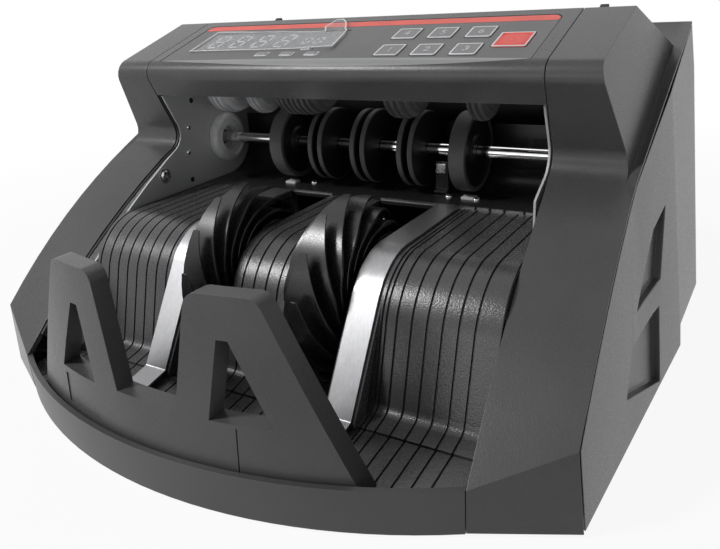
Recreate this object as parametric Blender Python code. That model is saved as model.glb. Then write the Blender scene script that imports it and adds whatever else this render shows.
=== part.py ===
"""Banknote counter: housing, control panel, note path, stacking wheels and drive.

Metres, +Z up. X runs across the machine, -Y is the front where the notes are stacked,
and Z = 0 is the table. Every length is a named value, and fits are worked out from them.
"""

import math

import bmesh
import bpy
import numpy as np
from mathutils import Vector

# Fits and finishes
GAP = 0.0003              # clearance between touching pieces
OVERRUN = 0.002           # how far cutters run past what they cut
PIVOT_SIDES = 32
SMOOTH_ANGLE = math.radians(32)
MITRE_LEAST_SHARE = 0.5         # keeps the mitre of a sharp corner short
RANK_SHARE = 0.1          # below this share two face directions count as one

# Control panel, seen from the side
SEAM_X = 0.0980           # half width of the panel between its two seams
TOP_FRONT_Y = 0.0
TOP_FRONT_Z = 0.1332
TOP_REAR_Y = 0.0503
TOP_REAR_Z = 0.1488
NOSE_Y = -0.0021           # sharp corner of the panel's front before it is rounded
NOSE_Z = 0.13255
LIP_Y = 0.0048
LIP_Z = 0.1182
PANEL_WALL = 0.0025
PANEL_ROUND = 0.0065
ROUND_STEPS = 5

# Cheeks: the covers at both ends of the panel and of the note tray
WAIST_Y = 0.0163
WAIST_Z = 0.0944
WAIST_ROUND = 0.0082
BAND_LOW_Y = -0.0908
BAND_LOW_Z = 0.0178
BAND_LOW_X = 0.1055
BAND_BULGE = 0.0055
BAND_STEPS = 8
CHEEK_WALL = 0.0026
CHEEK_RIM = 0.0008        # thickness left at the edge over the side cover
FACET_X = 0.1175          # the cheek's flat outer side, which flares to the rear and downwards
FACET_FLARE_SHARE = 0.0737
FACET_DRAFT_SHARE = 0.2076
FACET_FOOT_Y = 0.0086
FACET_FOOT_Z = 0.0906
EDGE_WAIST_Y = 0.0080     # outer edge of the band, which runs on up to the rear
EDGE_WAIST_Z = 0.0910
EDGE_BULGE = 0.0043
CORNER_Y = -0.0752
CORNER_Z = 0.0312
MIDDLE_INSET = 0.0070     # from the outer edge to the fold line along the band
FACET_REAR_Y = 0.0985
FACET_REAR_Z = 0.1295
SHOULDER_REAR_Y = 0.1118
SHOULDER_REAR_Z = 0.1385
HOUSING_LOW_Z = 0.0015

# Side covers: the outer skin flares to the rear and draws in upwards
SIDE_FRONT_X = 0.1385
SIDE_FLARE_SHARE = 0.055
SIDE_STRAIGHT_Y = 0.064
SIDE_DRAFT_SHARES = (0.103, 0.141, 0.112)   # at the front corner, the waist and the rear
SIDE_WALL = 0.0048
SIDE_RIM_OUT = 0.0013     # how far the rim lies under the cheek's edge, outside and inside
SIDE_RIM_IN = 0.0050
SIDE_REAR_Y = 0.1165
SIDE_REAR_Z = 0.1180
SIDE_LIFT_Y = 0.0660
SIDE_LIFT_Z = 0.0110
GRIP_DEPTH = 0.0028
# Corners of the grip pockets as shares of the side cover's length and height
GRIP_UPPER_SHARES = ((0.637, 0.608), (0.569, 0.380), (0.381, 0.387), (0.538, 0.570))
GRIP_LOWER_SHARES = ((0.548, 0.292), (0.520, 0.030), (0.275, 0.170), (0.331, 0.298), (0.502, 0.298))

# Tray and skirt
SKIRT_FRONT_Y = -0.1198
SKIRT_TOP_Z = 0.0178
SKIRT_WALL = 0.0022
SKIRT_STEPS = 28
FLOOR_PLATE = 0.0024
TRAY_CLEAR = 0.0006       # between the tray and the covers beside it
TRAY_BACK_CLEAR = 0.0009  # between the floor plate and the back of a cheek's front face
TRAY_CORNER_SET = 0.0024  # from the side cover's front corner back to the floor plate's corner
BASE_STEP_Y = 0.064
BASE_REAR_Y = 0.1080
BASE_LIFT_Z = 0.0105
FOOT_RADIUS = 0.0065
FOOT_FRONT_X = 0.088
FOOT_REAR_X = 0.108
FOOT_FRONT_Y = -0.074
FOOT_REAR_Y = 0.052

# Paper guides
GUIDE_END_X = 0.0958
GUIDE_TOP_Y = 0.0265
GUIDE_TOP_Z = 0.0684
CREST_Y = -0.0460
CREST_Z = 0.0684
CREST_ROUND = 0.0280
CREST_STEPS = 8
FACE_LOW_Y = -0.0615
FACE_LOW_Z = 0.0170
GUIDE_FOOT_Y = -0.0715
GUIDE_FOOT_Z = 0.0150
GUIDE_WALL = 0.0020
MIDDLE_HALF_X = 0.0136
SLOT_LEFT_X = -0.0368
SLOT_RIGHT_X = 0.0434
STRIP_WIDTH = 0.0112
STRIP_THICK = 0.0008
RIB_SIDE = 0.0012         # how far the rib under a strip shows on either side of it
RIB_LEAVES = 8            # points of the guide's line after which the rib leaves it
RIB_LOW_Y = -0.0736
RIB_LOW_Z = 0.0168
RIB_SOLE_Z = 0.0147
RIB_SOLE_Y = -0.0660
WING_REAR_Y = -0.0020     # the right guide widens from here on towards the cheek
WING_CLEAR = 0.0008
STRIP_FOOT_Y = -0.0860
STRIP_FOOT_Z = 0.0144
TRAY_REAR_Y = -0.0720
TRAY_REAR_Z = 0.0144
TRAY_FRONT_Z = 0.0092
TRAY_THICK = 0.0020
TRAY_LEG_X = 0.0600
TRAY_LEG_WIDTH = 0.0040
TRAY_LEG_SETBACK = 0.0040 # in front of the tray floor's rear edge
TRAY_LEG_SINK = 0.0005    # how far a leg reaches into the tray floor

# Stopper, bent to the arc of the skirt
STOP_CENTRE_X = -0.0022
STOP_TOP_Z = 0.0780
STOP_LOW_Z = 0.0124
STOP_BRIDGE_Z = 0.0353
STOP_THICK = 0.0075
STOP_INSET = 0.0026
STOP_LEAN = 0.0060        # how far the top stands back from the foot
STOP_TOP_INNER = 0.0224
STOP_TOP_OUTER = 0.0476
STOP_LOW_INNER = 0.0098
STOP_LOW_OUTER = 0.0785
STOP_ROUND = 0.0055
STOP_BLANK = 0.0040       # how much wider than its letters the bent slab is cut
STOP_WINDOW_LOW_Z = 0.0344
STOP_WINDOW_TOP_Z = 0.0633
STOP_WINDOW_LOW_HALF = 0.0117
STOP_WINDOW_TOP_HALF = 0.0021
STOP_WINDOW_LOW_X = 0.0394
STOP_WINDOW_TOP_X = 0.0351

# Shafts and wheels
SHAFT_RADIUS = 0.0030
MAIN_Y = 0.0485
MAIN_Z = 0.0890
WIDE_WHEEL_RADIUS = 0.0182
DISC_RADIUS = 0.0174
HUB_RADIUS = 0.0070
DISC_THICK = 0.0028
DISC_PAIR = 0.0084        # over both discs of a pair
WIDE_WHEEL = 0.0076
WIDE_WHEEL_SHARES = (-0.498, 0.530)            # centres, as shares of half the note track
DISC_WHEEL_SHARES = (-0.253, -0.001, 0.261)
FEED_SETBACK = 0.0130     # the feed shaft lies in front of the main shaft
FEED_Y = MAIN_Y - FEED_SETBACK
FEED_CLEAR = 0.0019       # between the display board and the feed rollers
NIP_GAP = 0.0010          # between the wide wheels and the feed rollers
# Left end and width of each roller, as shares of half the note track
FEED_ROLLER_SHARES = ((-0.846, 0.136), (-0.585, 0.068), (-0.402, 0.235), (0.209, 0.136), (0.616, 0.078))
# Shape of a roller: shares of its width and of its radius
FEED_CROWN_SHARES = ((0.0, 0.94), (0.12, 1.0), (0.60, 1.0), (0.85, 0.93), (1.0, 0.78))
STACK_Y = -0.0270
STACK_Z = 0.0455
STACK_RADIUS = 0.0410
STACK_HUB = 0.0110
VANES = 14
VANE_SWEEP = math.radians(150)
VANE_TURN_LEFT = math.radians(5)      # how far each stacking wheel is turned on its shaft
VANE_TURN_RIGHT = math.radians(9)
VANE_ROOT = 0.0024
VANE_TIP = 0.0006
VANE_STEPS = 8
VANE_POINT = 0.0015       # half width left at the tip of a vane
VANE_NARROW_SHARE = 0.66        # share of the vane after which it narrows
STACK_SIDE_GAP = 0.0030
BUSH_RADIUS = 0.0133
BUSH_BORE = 0.0066
BUSH_DOME_SHARES = ((0.0, 1.0), (0.5, 1.0), (0.85, 0.92), (1.0, 0.76))   # shares of its height and radius
BUSH_FACE_X = 0.0912
SHAFT_OVER = 0.0017       # how far a shaft stands out beyond its frame plate
PULLEY_X = 0.1000
PULLEY_WIDTH = 0.0080
PULLEY_FLANGE = 0.0010
PULLEY_LIP = 0.0016
MAIN_PULLEY_RADIUS = 0.0130
MOTOR_PULLEY_RADIUS = 0.0065
MOTOR_Y = 0.0850
MOTOR_Z = 0.0400
MOTOR_RADIUS = 0.0190
MOTOR_LENGTH = 0.0440
MOTOR_BEVEL = 0.0020
BELT_THICK = 0.0014
BELT_STEPS = 12

# Frame plates
PLATE_THICK = 0.0010
PLATE_INSET = 0.0008      # from the seam of the panel to the outside of a frame plate
PLATE_X = SEAM_X - PLATE_INSET - PLATE_THICK
PLATE_SETBACK = 0.0012    # behind the front faces of the cheeks
PLATE_STEP = 0.0042       # behind the panel's lip
PLATE_FRONT_Y = -0.0712
PLATE_TOE_Y = -0.0850     # the left plate's tip over the tray floor
LINER_DEPTH = 0.0120      # flared lip of the left plate along the cheek's inner edge
LINER_THICK = 0.0008
LINER_GAP = 0.0016
PLATE_REAR_Y = 0.1120
PLATE_DROP = 0.0052       # from the panel's top line down to the plate, in front and at the rear
PLATE_CROWN_DROP = 0.0083
PLATE_REAR_DROP = 0.0105
SHAFT_HOLE = 0.0040
HOLE_SIDES = 20
DECK_THICK = 0.0018
DECK_CLEAR = 0.0024       # between the counting wheels and the deck's curve
DECK_TOP_Z = 0.0980
DECK_STEPS = 8
BRACKET_X = 0.0363
BRACKET_WIDTH = 0.0065
BRACKET_THICK = 0.0012
BRACKET_TOP_Z = 0.0835

# Hopper and rear
HOPPER_LOW_Y = 0.0600
HOPPER_LOW_Z = 0.1120
HOPPER_SLOPE = math.radians(27.4)
HOPPER_LENGTH = 0.0574
HOPPER_WALL = 0.0024
REAR_WALL = 0.0026
REAR_Y = 0.1124
REAR_LOW_Z = 0.0130
REAR_TOP_Z = 0.1375
FIN_START = 0.0080
FIN_END = 0.0570
FIN_HEIGHT = 0.0106
FIN_NOSE = 0.0060
FIN_THICK = 0.0040
FIN_X = 0.0934
KNOB_RADIUS = 0.0070
KNOB_HEIGHT = 0.0036
KNOB_ALONG = 0.0360
KNOB_SIDES = 24
SWITCH_X = -0.0400
SWITCH_Z = 0.0360
SWITCH_WIDTH = 0.0125
SWITCH_RADIUS = 0.0086
SWITCH_DIP = 0.0068
SWITCH_REACH = math.radians(100)   # the rocker's round front, each way from its middle
SWITCH_STEPS = 6
SWITCH_CLEAR = 0.0006
SWITCH_TILT = math.radians(-7)   # at rest the rocker is off
INLET_X = -0.0720
INLET_Z = 0.0360
INLET_WIDTH = 0.0280
INLET_HEIGHT = 0.0200
INLET_FLANGE = 0.0050
INLET_FLANGE_THICK = 0.0020
INLET_BODY = 0.0160
INLET_OUT_Y = 0.1198
INLET_RIM = 0.0022
PIN_WIDTH = 0.0020
PIN_HEIGHT = 0.0040
PIN_PITCH = 0.0070

# Panel parts, measured along the slope from its front corner
KEY_WIDTH = 0.0110
KEY_DEPTH = 0.0105
KEY_PITCH = 0.0167
KEY_FIRST_X = 0.0300
KEY_ROW_REAR = 0.0305
KEY_ROW_FRONT = 0.0136
KEY_RISE = 0.0004
KEY_HEIGHT = 0.0026
RED_X = 0.0795
RED_V = 0.0222
RED_WIDTH = 0.0138
RED_DEPTH = 0.0135
RECESS_HALF_X = 0.0920
RECESS_FRONT_V = 0.0042
RECESS_REAR_V = 0.0472
RECESS_DEPTH = 0.0009
RECESS_ROUND = 0.0040
LABEL_THICK = 0.0005
WINDOW_X = -0.0405
WINDOW_V = 0.0262
WINDOW_WIDTH = 0.0790
WINDOW_DEPTH = 0.0220
WINDOW_LEDGE = 0.0015
LAMP_SHARES = (-0.373, -0.225, -0.082)         # centres, as shares of the recess's half width
LAMP_V = 0.0113
LAMP_WIDTH = 0.0058
LAMP_DEPTH = 0.0028
FILM_THICK = 0.0003
FILM_SPREAD = 0.0012
FILM_TAB_X = -0.0108
FILM_TAB_V = 0.0457
BOARD_LOW = -0.0045
BOARD_TOP = -0.0033
BOARD_POST_TOP = -0.0028
BOARD_HALF_X = 0.0885
BOARD_FRONT_V = 0.0055
BOARD_REAR_V = 0.0445
DIGITS_TOP = -0.0012
DIGITS_X = -0.0515
DIGITS_WIDTH = 0.0520
DIGITS_DEPTH = 0.0180
SMALL_DIGITS_X = -0.0155
SMALL_DIGITS_WIDTH = 0.0150
SMALL_DIGITS_DEPTH = 0.0110

# Colours: name, colour, roughness, metallic
CHARCOAL = ("charcoal_plastic", (0.072, 0.072, 0.075), 0.48, 0.0)
BLACK = ("black_plastic", (0.012, 0.012, 0.013), 0.35, 0.0)
GREY_PLATE = ("grey_plate", (0.20, 0.20, 0.205), 0.45, 0.2)
STEEL = ("bright_steel", (0.72, 0.72, 0.73), 0.16, 1.0)
RUBBER = ("grey_rubber", (0.085, 0.085, 0.088), 0.75, 0.0)
PALE = ("pale_plastic", (0.62, 0.62, 0.63), 0.40, 0.0)
LABEL = ("panel_label", (0.060, 0.060, 0.064), 0.30, 0.0)
RED = ("red_key", (0.80, 0.10, 0.08), 0.40, 0.0)
KEY_GREY = ("key_grey", (0.13, 0.13, 0.135), 0.45, 0.0)
SMOKED = ("smoked_window", (0.10, 0.10, 0.11), 0.12, 0.0)
FILM = ("clear_film", (0.80, 0.80, 0.82), 0.15, 0.0)
BOARD = ("circuit_board", (0.02, 0.10, 0.05), 0.50, 0.0)
BELT = ("belt_rubber", (0.02, 0.02, 0.02), 0.70, 0.0)
ZINC = ("zinc_steel", (0.45, 0.45, 0.46), 0.35, 1.0)


def material(spec):
    name, colour, roughness, metallic = spec
    found = bpy.data.materials.get(name)
    if found:
        return found
    made = bpy.data.materials.new(name)
    made.use_nodes = True
    shader = made.node_tree.nodes["Principled BSDF"]
    shader.inputs["Base Color"].default_value = (*colour, 1.0)
    shader.inputs["Roughness"].default_value = roughness
    shader.inputs["Metallic"].default_value = metallic
    return made


def link(name, mesh, spec, parent=None):
    thing = bpy.data.objects.new(name, mesh)
    bpy.context.scene.collection.objects.link(thing)
    if spec:
        mesh.materials.clear()
        mesh.materials.append(material(spec))
    thing.parent = parent
    return thing


def mesh_from(name, points, faces):
    """A mesh of these points and faces with its normals facing out and its round stretches smooth."""
    bm = bmesh.new()
    corners = [bm.verts.new(p) for p in points]
    for face in faces:
        bm.faces.new([corners[i] for i in face])
    bmesh.ops.recalc_face_normals(bm, faces=bm.faces)
    mesh = bpy.data.meshes.new(name)
    bm.to_mesh(mesh)
    bm.free()
    mesh.shade_smooth()
    mesh.set_sharp_from_angle(angle=SMOOTH_ANGLE)
    return mesh


def shell_mesh(name, points, faces, depths, held, side=1):
    """A skin of faces that face out, thickened inwards by a depth for each point.

    Along the directions held for a point its inner copy isn't moved. A side of -1 mirrors the piece."""
    around = [[] for _ in points]
    for face in faces:
        corners = [Vector(points[i]) for i in face]
        normal = sum((a.cross(b) for a, b in zip(corners, corners[1:] + corners[:1])), Vector()).normalized()
        for i in face:
            around[i].append(tuple(normal))
    backs = []
    for point, normals, depth, still in zip(points, around, depths, held):
        wanted = [-depth] * len(normals) + [0.0] * len(still)
        shift = np.linalg.lstsq(np.array(normals + still), np.array(wanted), rcond=RANK_SHARE)[0]
        backs.append(tuple(np.array(point) + shift))
    count = len(points)
    single = {(a, b) for face in faces for a, b in zip(face, face[1:] + face[:1])}
    rim = [(a, b) for a, b in single if (b, a) not in single]
    solid = [tuple(face) for face in faces]
    solid += [tuple(count + i for i in reversed(face)) for face in faces]
    solid += [(b, a, count + a, count + b) for a, b in sorted(rim)]
    return mesh_from(name, [(side * x, y, z) for x, y, z in list(points) + backs], solid)


def grid_mesh(name, outer, inner):
    """A closed solid between two grids of points with the same rows and columns."""
    rows, columns = len(outer), len(outer[0])
    points = [p for row in outer for p in row] + [p for row in inner for p in row]
    far = rows * columns

    def at(i, j):
        return i * columns + j

    faces = []
    for i in range(rows - 1):
        for j in range(columns - 1):
            quad = (at(i, j), at(i + 1, j), at(i + 1, j + 1), at(i, j + 1))
            faces.append(quad)
            faces.append(tuple(far + k for k in reversed(quad)))
    rim = [at(i, 0) for i in range(rows)]
    rim += [at(rows - 1, j) for j in range(1, columns)]
    rim += [at(i, columns - 1) for i in reversed(range(rows - 1))]
    rim += [at(0, j) for j in reversed(range(1, columns - 1))]
    for a, b in zip(rim, rim[1:] + rim[:1]):
        faces.append((a, b, far + b, far + a))
    return mesh_from(name, points, faces)


def prism_mesh(name, outline, low, high, axis):
    """An outline extruded along one axis; its points are the other two coordinates in order."""
    def place(point, along):
        spot = list(point)
        spot.insert(axis, along)
        return tuple(spot)

    count = len(outline)
    points = [place(p, low) for p in outline] + [place(p, high) for p in outline]
    faces = [tuple(range(count)), tuple(range(count, 2 * count))]
    for i in range(count):
        j = (i + 1) % count
        faces.append((i, j, count + j, count + i))
    return mesh_from(name, points, faces)


def box_mesh(name, low, high):
    (x0, y0, z0), (x1, y1, z1) = low, high
    return prism_mesh(name, [(y0, z0), (y1, z0), (y1, z1), (y0, z1)], x0, x1, 0)


def turned_mesh(name, profile, sides=PIVOT_SIDES):
    """A closed profile of (x, radius) points turned round the X axis."""
    rings = [math.tau * k / sides for k in range(sides)]
    axial = [i for i, (_, radius) in enumerate(profile) if radius == 0]
    points, index = [], {}
    for i, (x, radius) in enumerate(profile):
        if i in axial:
            index[i] = [len(points)] * sides
            points.append((x, 0.0, 0.0))
        else:
            index[i] = list(range(len(points), len(points) + sides))
            points += [(x, radius * math.cos(a), radius * math.sin(a)) for a in rings]
    faces = []
    for i in range(len(profile)):
        j = (i + 1) % len(profile)
        if i in axial and j in axial:
            continue
        for k in range(sides):
            n = (k + 1) % sides
            corners = (index[i][k], index[j][k], index[j][n], index[i][n])
            faces.append(tuple(dict.fromkeys(corners)))
    return mesh_from(name, points, faces)


def cutter(name, mesh, parent=None):
    tool = link(name, mesh, None, parent)
    tool.hide_render = True
    tool.display_type = "WIRE"
    return tool


def combine(target, tool, operation):
    step = target.modifiers.new(operation.title() + " " + tool.name, "BOOLEAN")
    step.operation = operation
    step.object = tool
    step.solver = "EXACT"


def cut(target, *tools):
    for tool in tools:
        combine(target, tool, "DIFFERENCE")


def join(target, *tools):
    for tool in tools:
        combine(target, tool, "UNION")


def empty(name, place, tilt=0.0):
    mark = bpy.data.objects.new(name, None)
    mark.location = place
    mark.rotation_euler = (tilt, 0.0, 0.0)
    bpy.context.scene.collection.objects.link(mark)
    return mark


def arc_points(centre, radius, start, stop, steps):
    return [
        (centre[0] + radius * math.cos(a), centre[1] + radius * math.sin(a))
        for a in np.linspace(start, stop, steps + 1)
    ]


def rounded(before, corner, after, radius, steps):
    """The corner of an outline replaced by an arc that touches both of its sides."""
    corner, before, after = Vector(corner), Vector(before), Vector(after)
    to_before, to_after = (before - corner).normalized(), (after - corner).normalized()
    half = to_before.angle(to_after) / 2
    centre = corner + (to_before + to_after).normalized() * (radius / math.sin(half))
    first = corner + to_before * (radius / math.tan(half))
    last = corner + to_after * (radius / math.tan(half))
    start = math.atan2(first.y - centre.y, first.x - centre.x)
    turn = math.atan2(last.y - centre.y, last.x - centre.x) - start
    turn = (turn + math.pi) % math.tau - math.pi
    return [tuple(p) for p in arc_points(centre, radius, start, start + turn, steps)]


def offset_line(points, distance):
    """An open line of (y, z) points moved sideways, to the right of its direction if positive."""
    line = [Vector(p) for p in points]
    moved = []
    for i, point in enumerate(line):
        before = (point - line[i - 1]).normalized() if i else None
        after = (line[i + 1] - point).normalized() if i + 1 < len(line) else None
        before, after = before or after, after or before
        along = (before + after).normalized()
        side = Vector((along.y, -along.x))
        moved.append(tuple(point + side * (distance / max(along.dot(before), MITRE_LEAST_SHARE))))
    return moved


def bulged(start, stop, bulge, steps):
    """Points from start to stop that swell to one side by the bulge, as a shallow arc does."""
    start, stop = Vector(start), Vector(stop)
    along = stop - start
    side = Vector((along.y, -along.x)).normalized()
    return [
        tuple(start + along * t + side * (4 * bulge * t * (1 - t)))
        for t in np.linspace(0, 1, steps + 1)
    ]


def skirt_arc(inset, half_width, steps):
    """Points of the skirt's arc in plan, moved in by the inset, out to a half width each way."""
    sag = BAND_LOW_Y - SKIRT_FRONT_Y
    radius = (BAND_LOW_X ** 2 + sag ** 2) / (2 * sag)
    centre_y = SKIRT_FRONT_Y + radius
    reach = math.asin(half_width / (radius - inset))
    return [
        ((radius - inset) * math.sin(a), centre_y - (radius - inset) * math.cos(a))
        for a in np.linspace(-reach, reach, steps + 1)
    ]


def skirt_y(x, inset):
    sag = BAND_LOW_Y - SKIRT_FRONT_Y
    radius = (BAND_LOW_X ** 2 + sag ** 2) / (2 * sag)
    return SKIRT_FRONT_Y + radius - math.sqrt((radius - inset) ** 2 - x ** 2)


def side_x(y, z):
    """The outer skin of a side cover: upright straight lines, flaring to the rear."""
    draft = np.interp(y, (CORNER_Y, WAIST_Y, SIDE_REAR_Y), SIDE_DRAFT_SHARES)
    return float(SIDE_FRONT_X + SIDE_FLARE_SHARE * (min(y, SIDE_STRAIGHT_Y) - CORNER_Y) - draft * z)


def facet_x(y, z):
    return FACET_X + FACET_FLARE_SHARE * (y - TOP_FRONT_Y) - FACET_DRAFT_SHARE * (z - TOP_FRONT_Z)


def between(start, stop, share):
    return tuple(a + (b - a) * share for a, b in zip(start, stop))


def clear():
    for thing in list(bpy.data.objects):
        bpy.data.objects.remove(thing, do_unlink=True)


def inner_lines():
    """The cheek's inner edge in side view: the round at the waist, and the band below it."""
    band = bulged((WAIST_Y, WAIST_Z), (BAND_LOW_Y, BAND_LOW_Z), BAND_BULGE, BAND_STEPS)
    return rounded((NOSE_Y, NOSE_Z), band[0], band[1], WAIST_ROUND, ROUND_STEPS), band


def inner_x(y):
    """Half width between the inner edges of the bands at a place along the note bay."""
    share = (WAIST_Y - y) / (WAIST_Y - BAND_LOW_Y)
    return SEAM_X + GAP + (BAND_LOW_X - SEAM_X) * share


def edge_line():
    """The cheek's outer edge in side view: rear, waist, the band and its front corner."""
    band = bulged((EDGE_WAIST_Y, EDGE_WAIST_Z), (CORNER_Y, CORNER_Z), EDGE_BULGE, BAND_STEPS)
    return [(SHOULDER_REAR_Y, SHOULDER_REAR_Z)] + band


def cheek(name, side):
    rear = (TOP_REAR_Y, TOP_REAR_Z)
    notch, band = inner_lines()
    corner = rounded(rear, (NOSE_Y, NOSE_Z), band[0], PANEL_ROUND, ROUND_STEPS)
    upper = [(FACET_REAR_Y, FACET_REAR_Z), rear] + corner + notch
    folded = upper[:-1] + [(FACET_FOOT_Y, FACET_FOOT_Z)]
    seam_x = SEAM_X + GAP
    points, faces = [], []

    def add(x, y, z):
        points.append((x, y, z))
        return len(points) - 1

    inner = [add(seam_x, y, z) for y, z in upper]
    middle = [add(facet_x(y, z), y, z) for y, z in folded]
    edge = edge_line()
    outer = [add(side_x(y, z), y, z) for y, z in edge[:2]]
    share = (FACET_REAR_Y - EDGE_WAIST_Y) / (SHOULDER_REAR_Y - EDGE_WAIST_Y)
    fold_y, fold_z = between(edge[1], edge[0], share)
    shoulder = add(side_x(fold_y, fold_z), fold_y, fold_z)
    back = [add(seam_x, SHOULDER_REAR_Y, SHOULDER_REAR_Z),
            add(facet_x(FACET_REAR_Y, FACET_REAR_Z), SHOULDER_REAR_Y, SHOULDER_REAR_Z)]
    for i in range(len(upper) - 1):
        faces.append((inner[i], inner[i + 1], middle[i + 1], middle[i]))
    faces.append(tuple(middle))
    faces.append((middle[0], middle[-1], outer[1], shoulder))
    faces.append((back[0], inner[0], middle[0], back[1]))
    faces.append((back[1], middle[0], shoulder, outer[0]))
    last, near_edge = (inner[-1], middle[-1], outer[1]), []
    rows = list(zip(band[1:], edge[2:], np.linspace(0, 1, BAND_STEPS + 1)[1:]))
    rows.append(((BAND_LOW_Y, HOUSING_LOW_Z), (CORNER_Y, HOUSING_LOW_Z), 1.0))
    for near, far, share in rows:
        start = (seam_x + (BAND_LOW_X - SEAM_X) * share, *near)
        stop = (side_x(*far), *far)
        inset = MIDDLE_INSET * share + (points[outer[1]][0] - points[middle[-1]][0]) * (1 - share)
        fold = between(start, stop, 1 - inset / (stop[0] - start[0]))
        row = (add(*start), add(*fold), add(*stop))
        for a, b, c, d in zip(last, row, row[1:], last[1:]):
            faces.append((a, b, c, d))
        last = row
        near_edge.append(row[0])
    rim = {i for i, (x, y, z) in enumerate(points) if abs(x - side_x(y, z)) < GAP}
    depths = [CHEEK_RIM if i in rim else CHEEK_WALL for i in range(len(points))]
    held = [[] for _ in points]
    for i in inner + back[:1] + near_edge:
        held[i].append((1.0, 0.0, 0.0))
    for i in back + outer[:1]:
        held[i].append((0.0, 1.0, 0.0))
    for i in last:
        held[i].append((0.0, 0.0, 1.0))
    return link(name, shell_mesh(name, points, faces, depths, held, side), CHARCOAL)


def side_cover(name, side):
    line = edge_line() + [(CORNER_Y, HOUSING_LOW_Z)]

    def stations(inset, wall):
        rim = [(SIDE_REAR_Y, SIDE_REAR_Z)] + offset_line(line, -inset)[:-1]
        upper = rim[:2]
        for y in (SIDE_LIFT_Y, SIDE_STRAIGHT_Y):
            share = (y - rim[1][0]) / (rim[2][0] - rim[1][0])
            upper.append(between(rim[1], rim[2], share))
        upper += rim[2:]
        rows = []
        for y, z in upper:
            low = SIDE_LIFT_Z if y >= SIDE_LIFT_Y - GAP else HOUSING_LOW_Z
            rows.append([(side * (side_x(y, height) - wall), y, height) for height in (low, z)])
        return rows

    cover = link(name, grid_mesh(name, stations(SIDE_RIM_OUT, 0), stations(SIDE_RIM_IN, SIDE_WALL)), CHARCOAL)
    length = SIDE_REAR_Y - CORNER_Y
    for tag, shares in (("upper", GRIP_UPPER_SHARES), ("lower", GRIP_LOWER_SHARES)):
        outline = [(CORNER_Y + length * along, SIDE_REAR_Z * up) for along, up in shares]
        near = [(side * (side_x(y, z) - GRIP_DEPTH), y, z) for y, z in outline]
        far = [(side * (side_x(y, z) + OVERRUN), y, z) for y, z in outline]
        count = len(outline)
        sides = [(i, (i + 1) % count, count + (i + 1) % count, count + i) for i in range(count)]
        caps = [tuple(range(count)), tuple(range(count, 2 * count))]
        cut(cover, cutter(name + "_" + tag, mesh_from(name + "_" + tag, near + far, sides + caps)))
    return cover


def base_half_width(y, z):
    return side_x(y, z) - SIDE_WALL - TRAY_CLEAR


def base_tray():
    top = HOUSING_LOW_Z + FLOOR_PLATE
    arc = skirt_arc(SKIRT_WALL / 2, BAND_LOW_X - TRAY_CLEAR, SKIRT_STEPS)
    corner_y = CORNER_Y + TRAY_CORNER_SET
    right = [
        (BAND_LOW_X - GAP, BAND_LOW_Y + CHEEK_WALL + TRAY_BACK_CLEAR),
        (base_half_width(corner_y, top), corner_y),
        (base_half_width(BASE_STEP_Y, BASE_LIFT_Z + FLOOR_PLATE), BASE_STEP_Y + FLOOR_PLATE / 2),
    ]
    outline = arc + right + [(-x, y) for x, y in reversed(right)]
    tray = link("base_tray", prism_mesh("base_tray", outline, HOUSING_LOW_Z, top, 2), CHARCOAL)
    skirt = skirt_arc(0, BAND_LOW_X, SKIRT_STEPS) + skirt_arc(SKIRT_WALL, BAND_LOW_X, SKIRT_STEPS)[::-1]
    under = HOUSING_LOW_Z - GAP
    step = [
        (BASE_STEP_Y, under), (BASE_STEP_Y + FLOOR_PLATE, under),
        (BASE_STEP_Y + FLOOR_PLATE, BASE_LIFT_Z), (BASE_REAR_Y, BASE_LIFT_Z),
        (BASE_REAR_Y, BASE_LIFT_Z + FLOOR_PLATE), (BASE_STEP_Y, BASE_LIFT_Z + FLOOR_PLATE),
    ]
    half = base_half_width(BASE_STEP_Y, BASE_LIFT_Z + FLOOR_PLATE)
    join(
        tray,
        cutter("skirt", prism_mesh("skirt", skirt, under, SKIRT_TOP_Z, 2)),
        cutter("rear_step", prism_mesh("rear_step", step, -half, half, 0)),
    )


def feet():
    sides = np.linspace(0, math.tau, HOLE_SIDES + 1)[:-1]
    outline = [(FOOT_RADIUS * math.cos(a), FOOT_RADIUS * math.sin(a)) for a in sides]
    mesh = prism_mesh("foot", outline, 0, HOUSING_LOW_Z - GAP, 2)
    places = {
        "foot_front_left": (-FOOT_FRONT_X, FOOT_FRONT_Y), "foot_front_right": (FOOT_FRONT_X, FOOT_FRONT_Y),
        "foot_rear_left": (-FOOT_REAR_X, FOOT_REAR_Y), "foot_rear_right": (FOOT_REAR_X, FOOT_REAR_Y),
    }
    for name, (x, y) in places.items():
        link(name, mesh, RUBBER).location = (x, y, 0)


def guide_line():
    top, crest, low = (GUIDE_TOP_Y, GUIDE_TOP_Z), (CREST_Y, CREST_Z), (FACE_LOW_Y, FACE_LOW_Z)
    return [top] + rounded(top, crest, low, CREST_ROUND, CREST_STEPS) + [low]


def guide(name, x0, x1):
    foot = HOUSING_LOW_Z + FLOOR_PLATE + GAP
    line = [(GUIDE_TOP_Y, foot)] + guide_line()
    line += [(GUIDE_FOOT_Y, GUIDE_FOOT_Z), (GUIDE_FOOT_Y, foot)]
    outline = line + offset_line(line, -GUIDE_WALL)[::-1]
    return link(name, prism_mesh(name, outline, x0, x1, 0), CHARCOAL)


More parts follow.
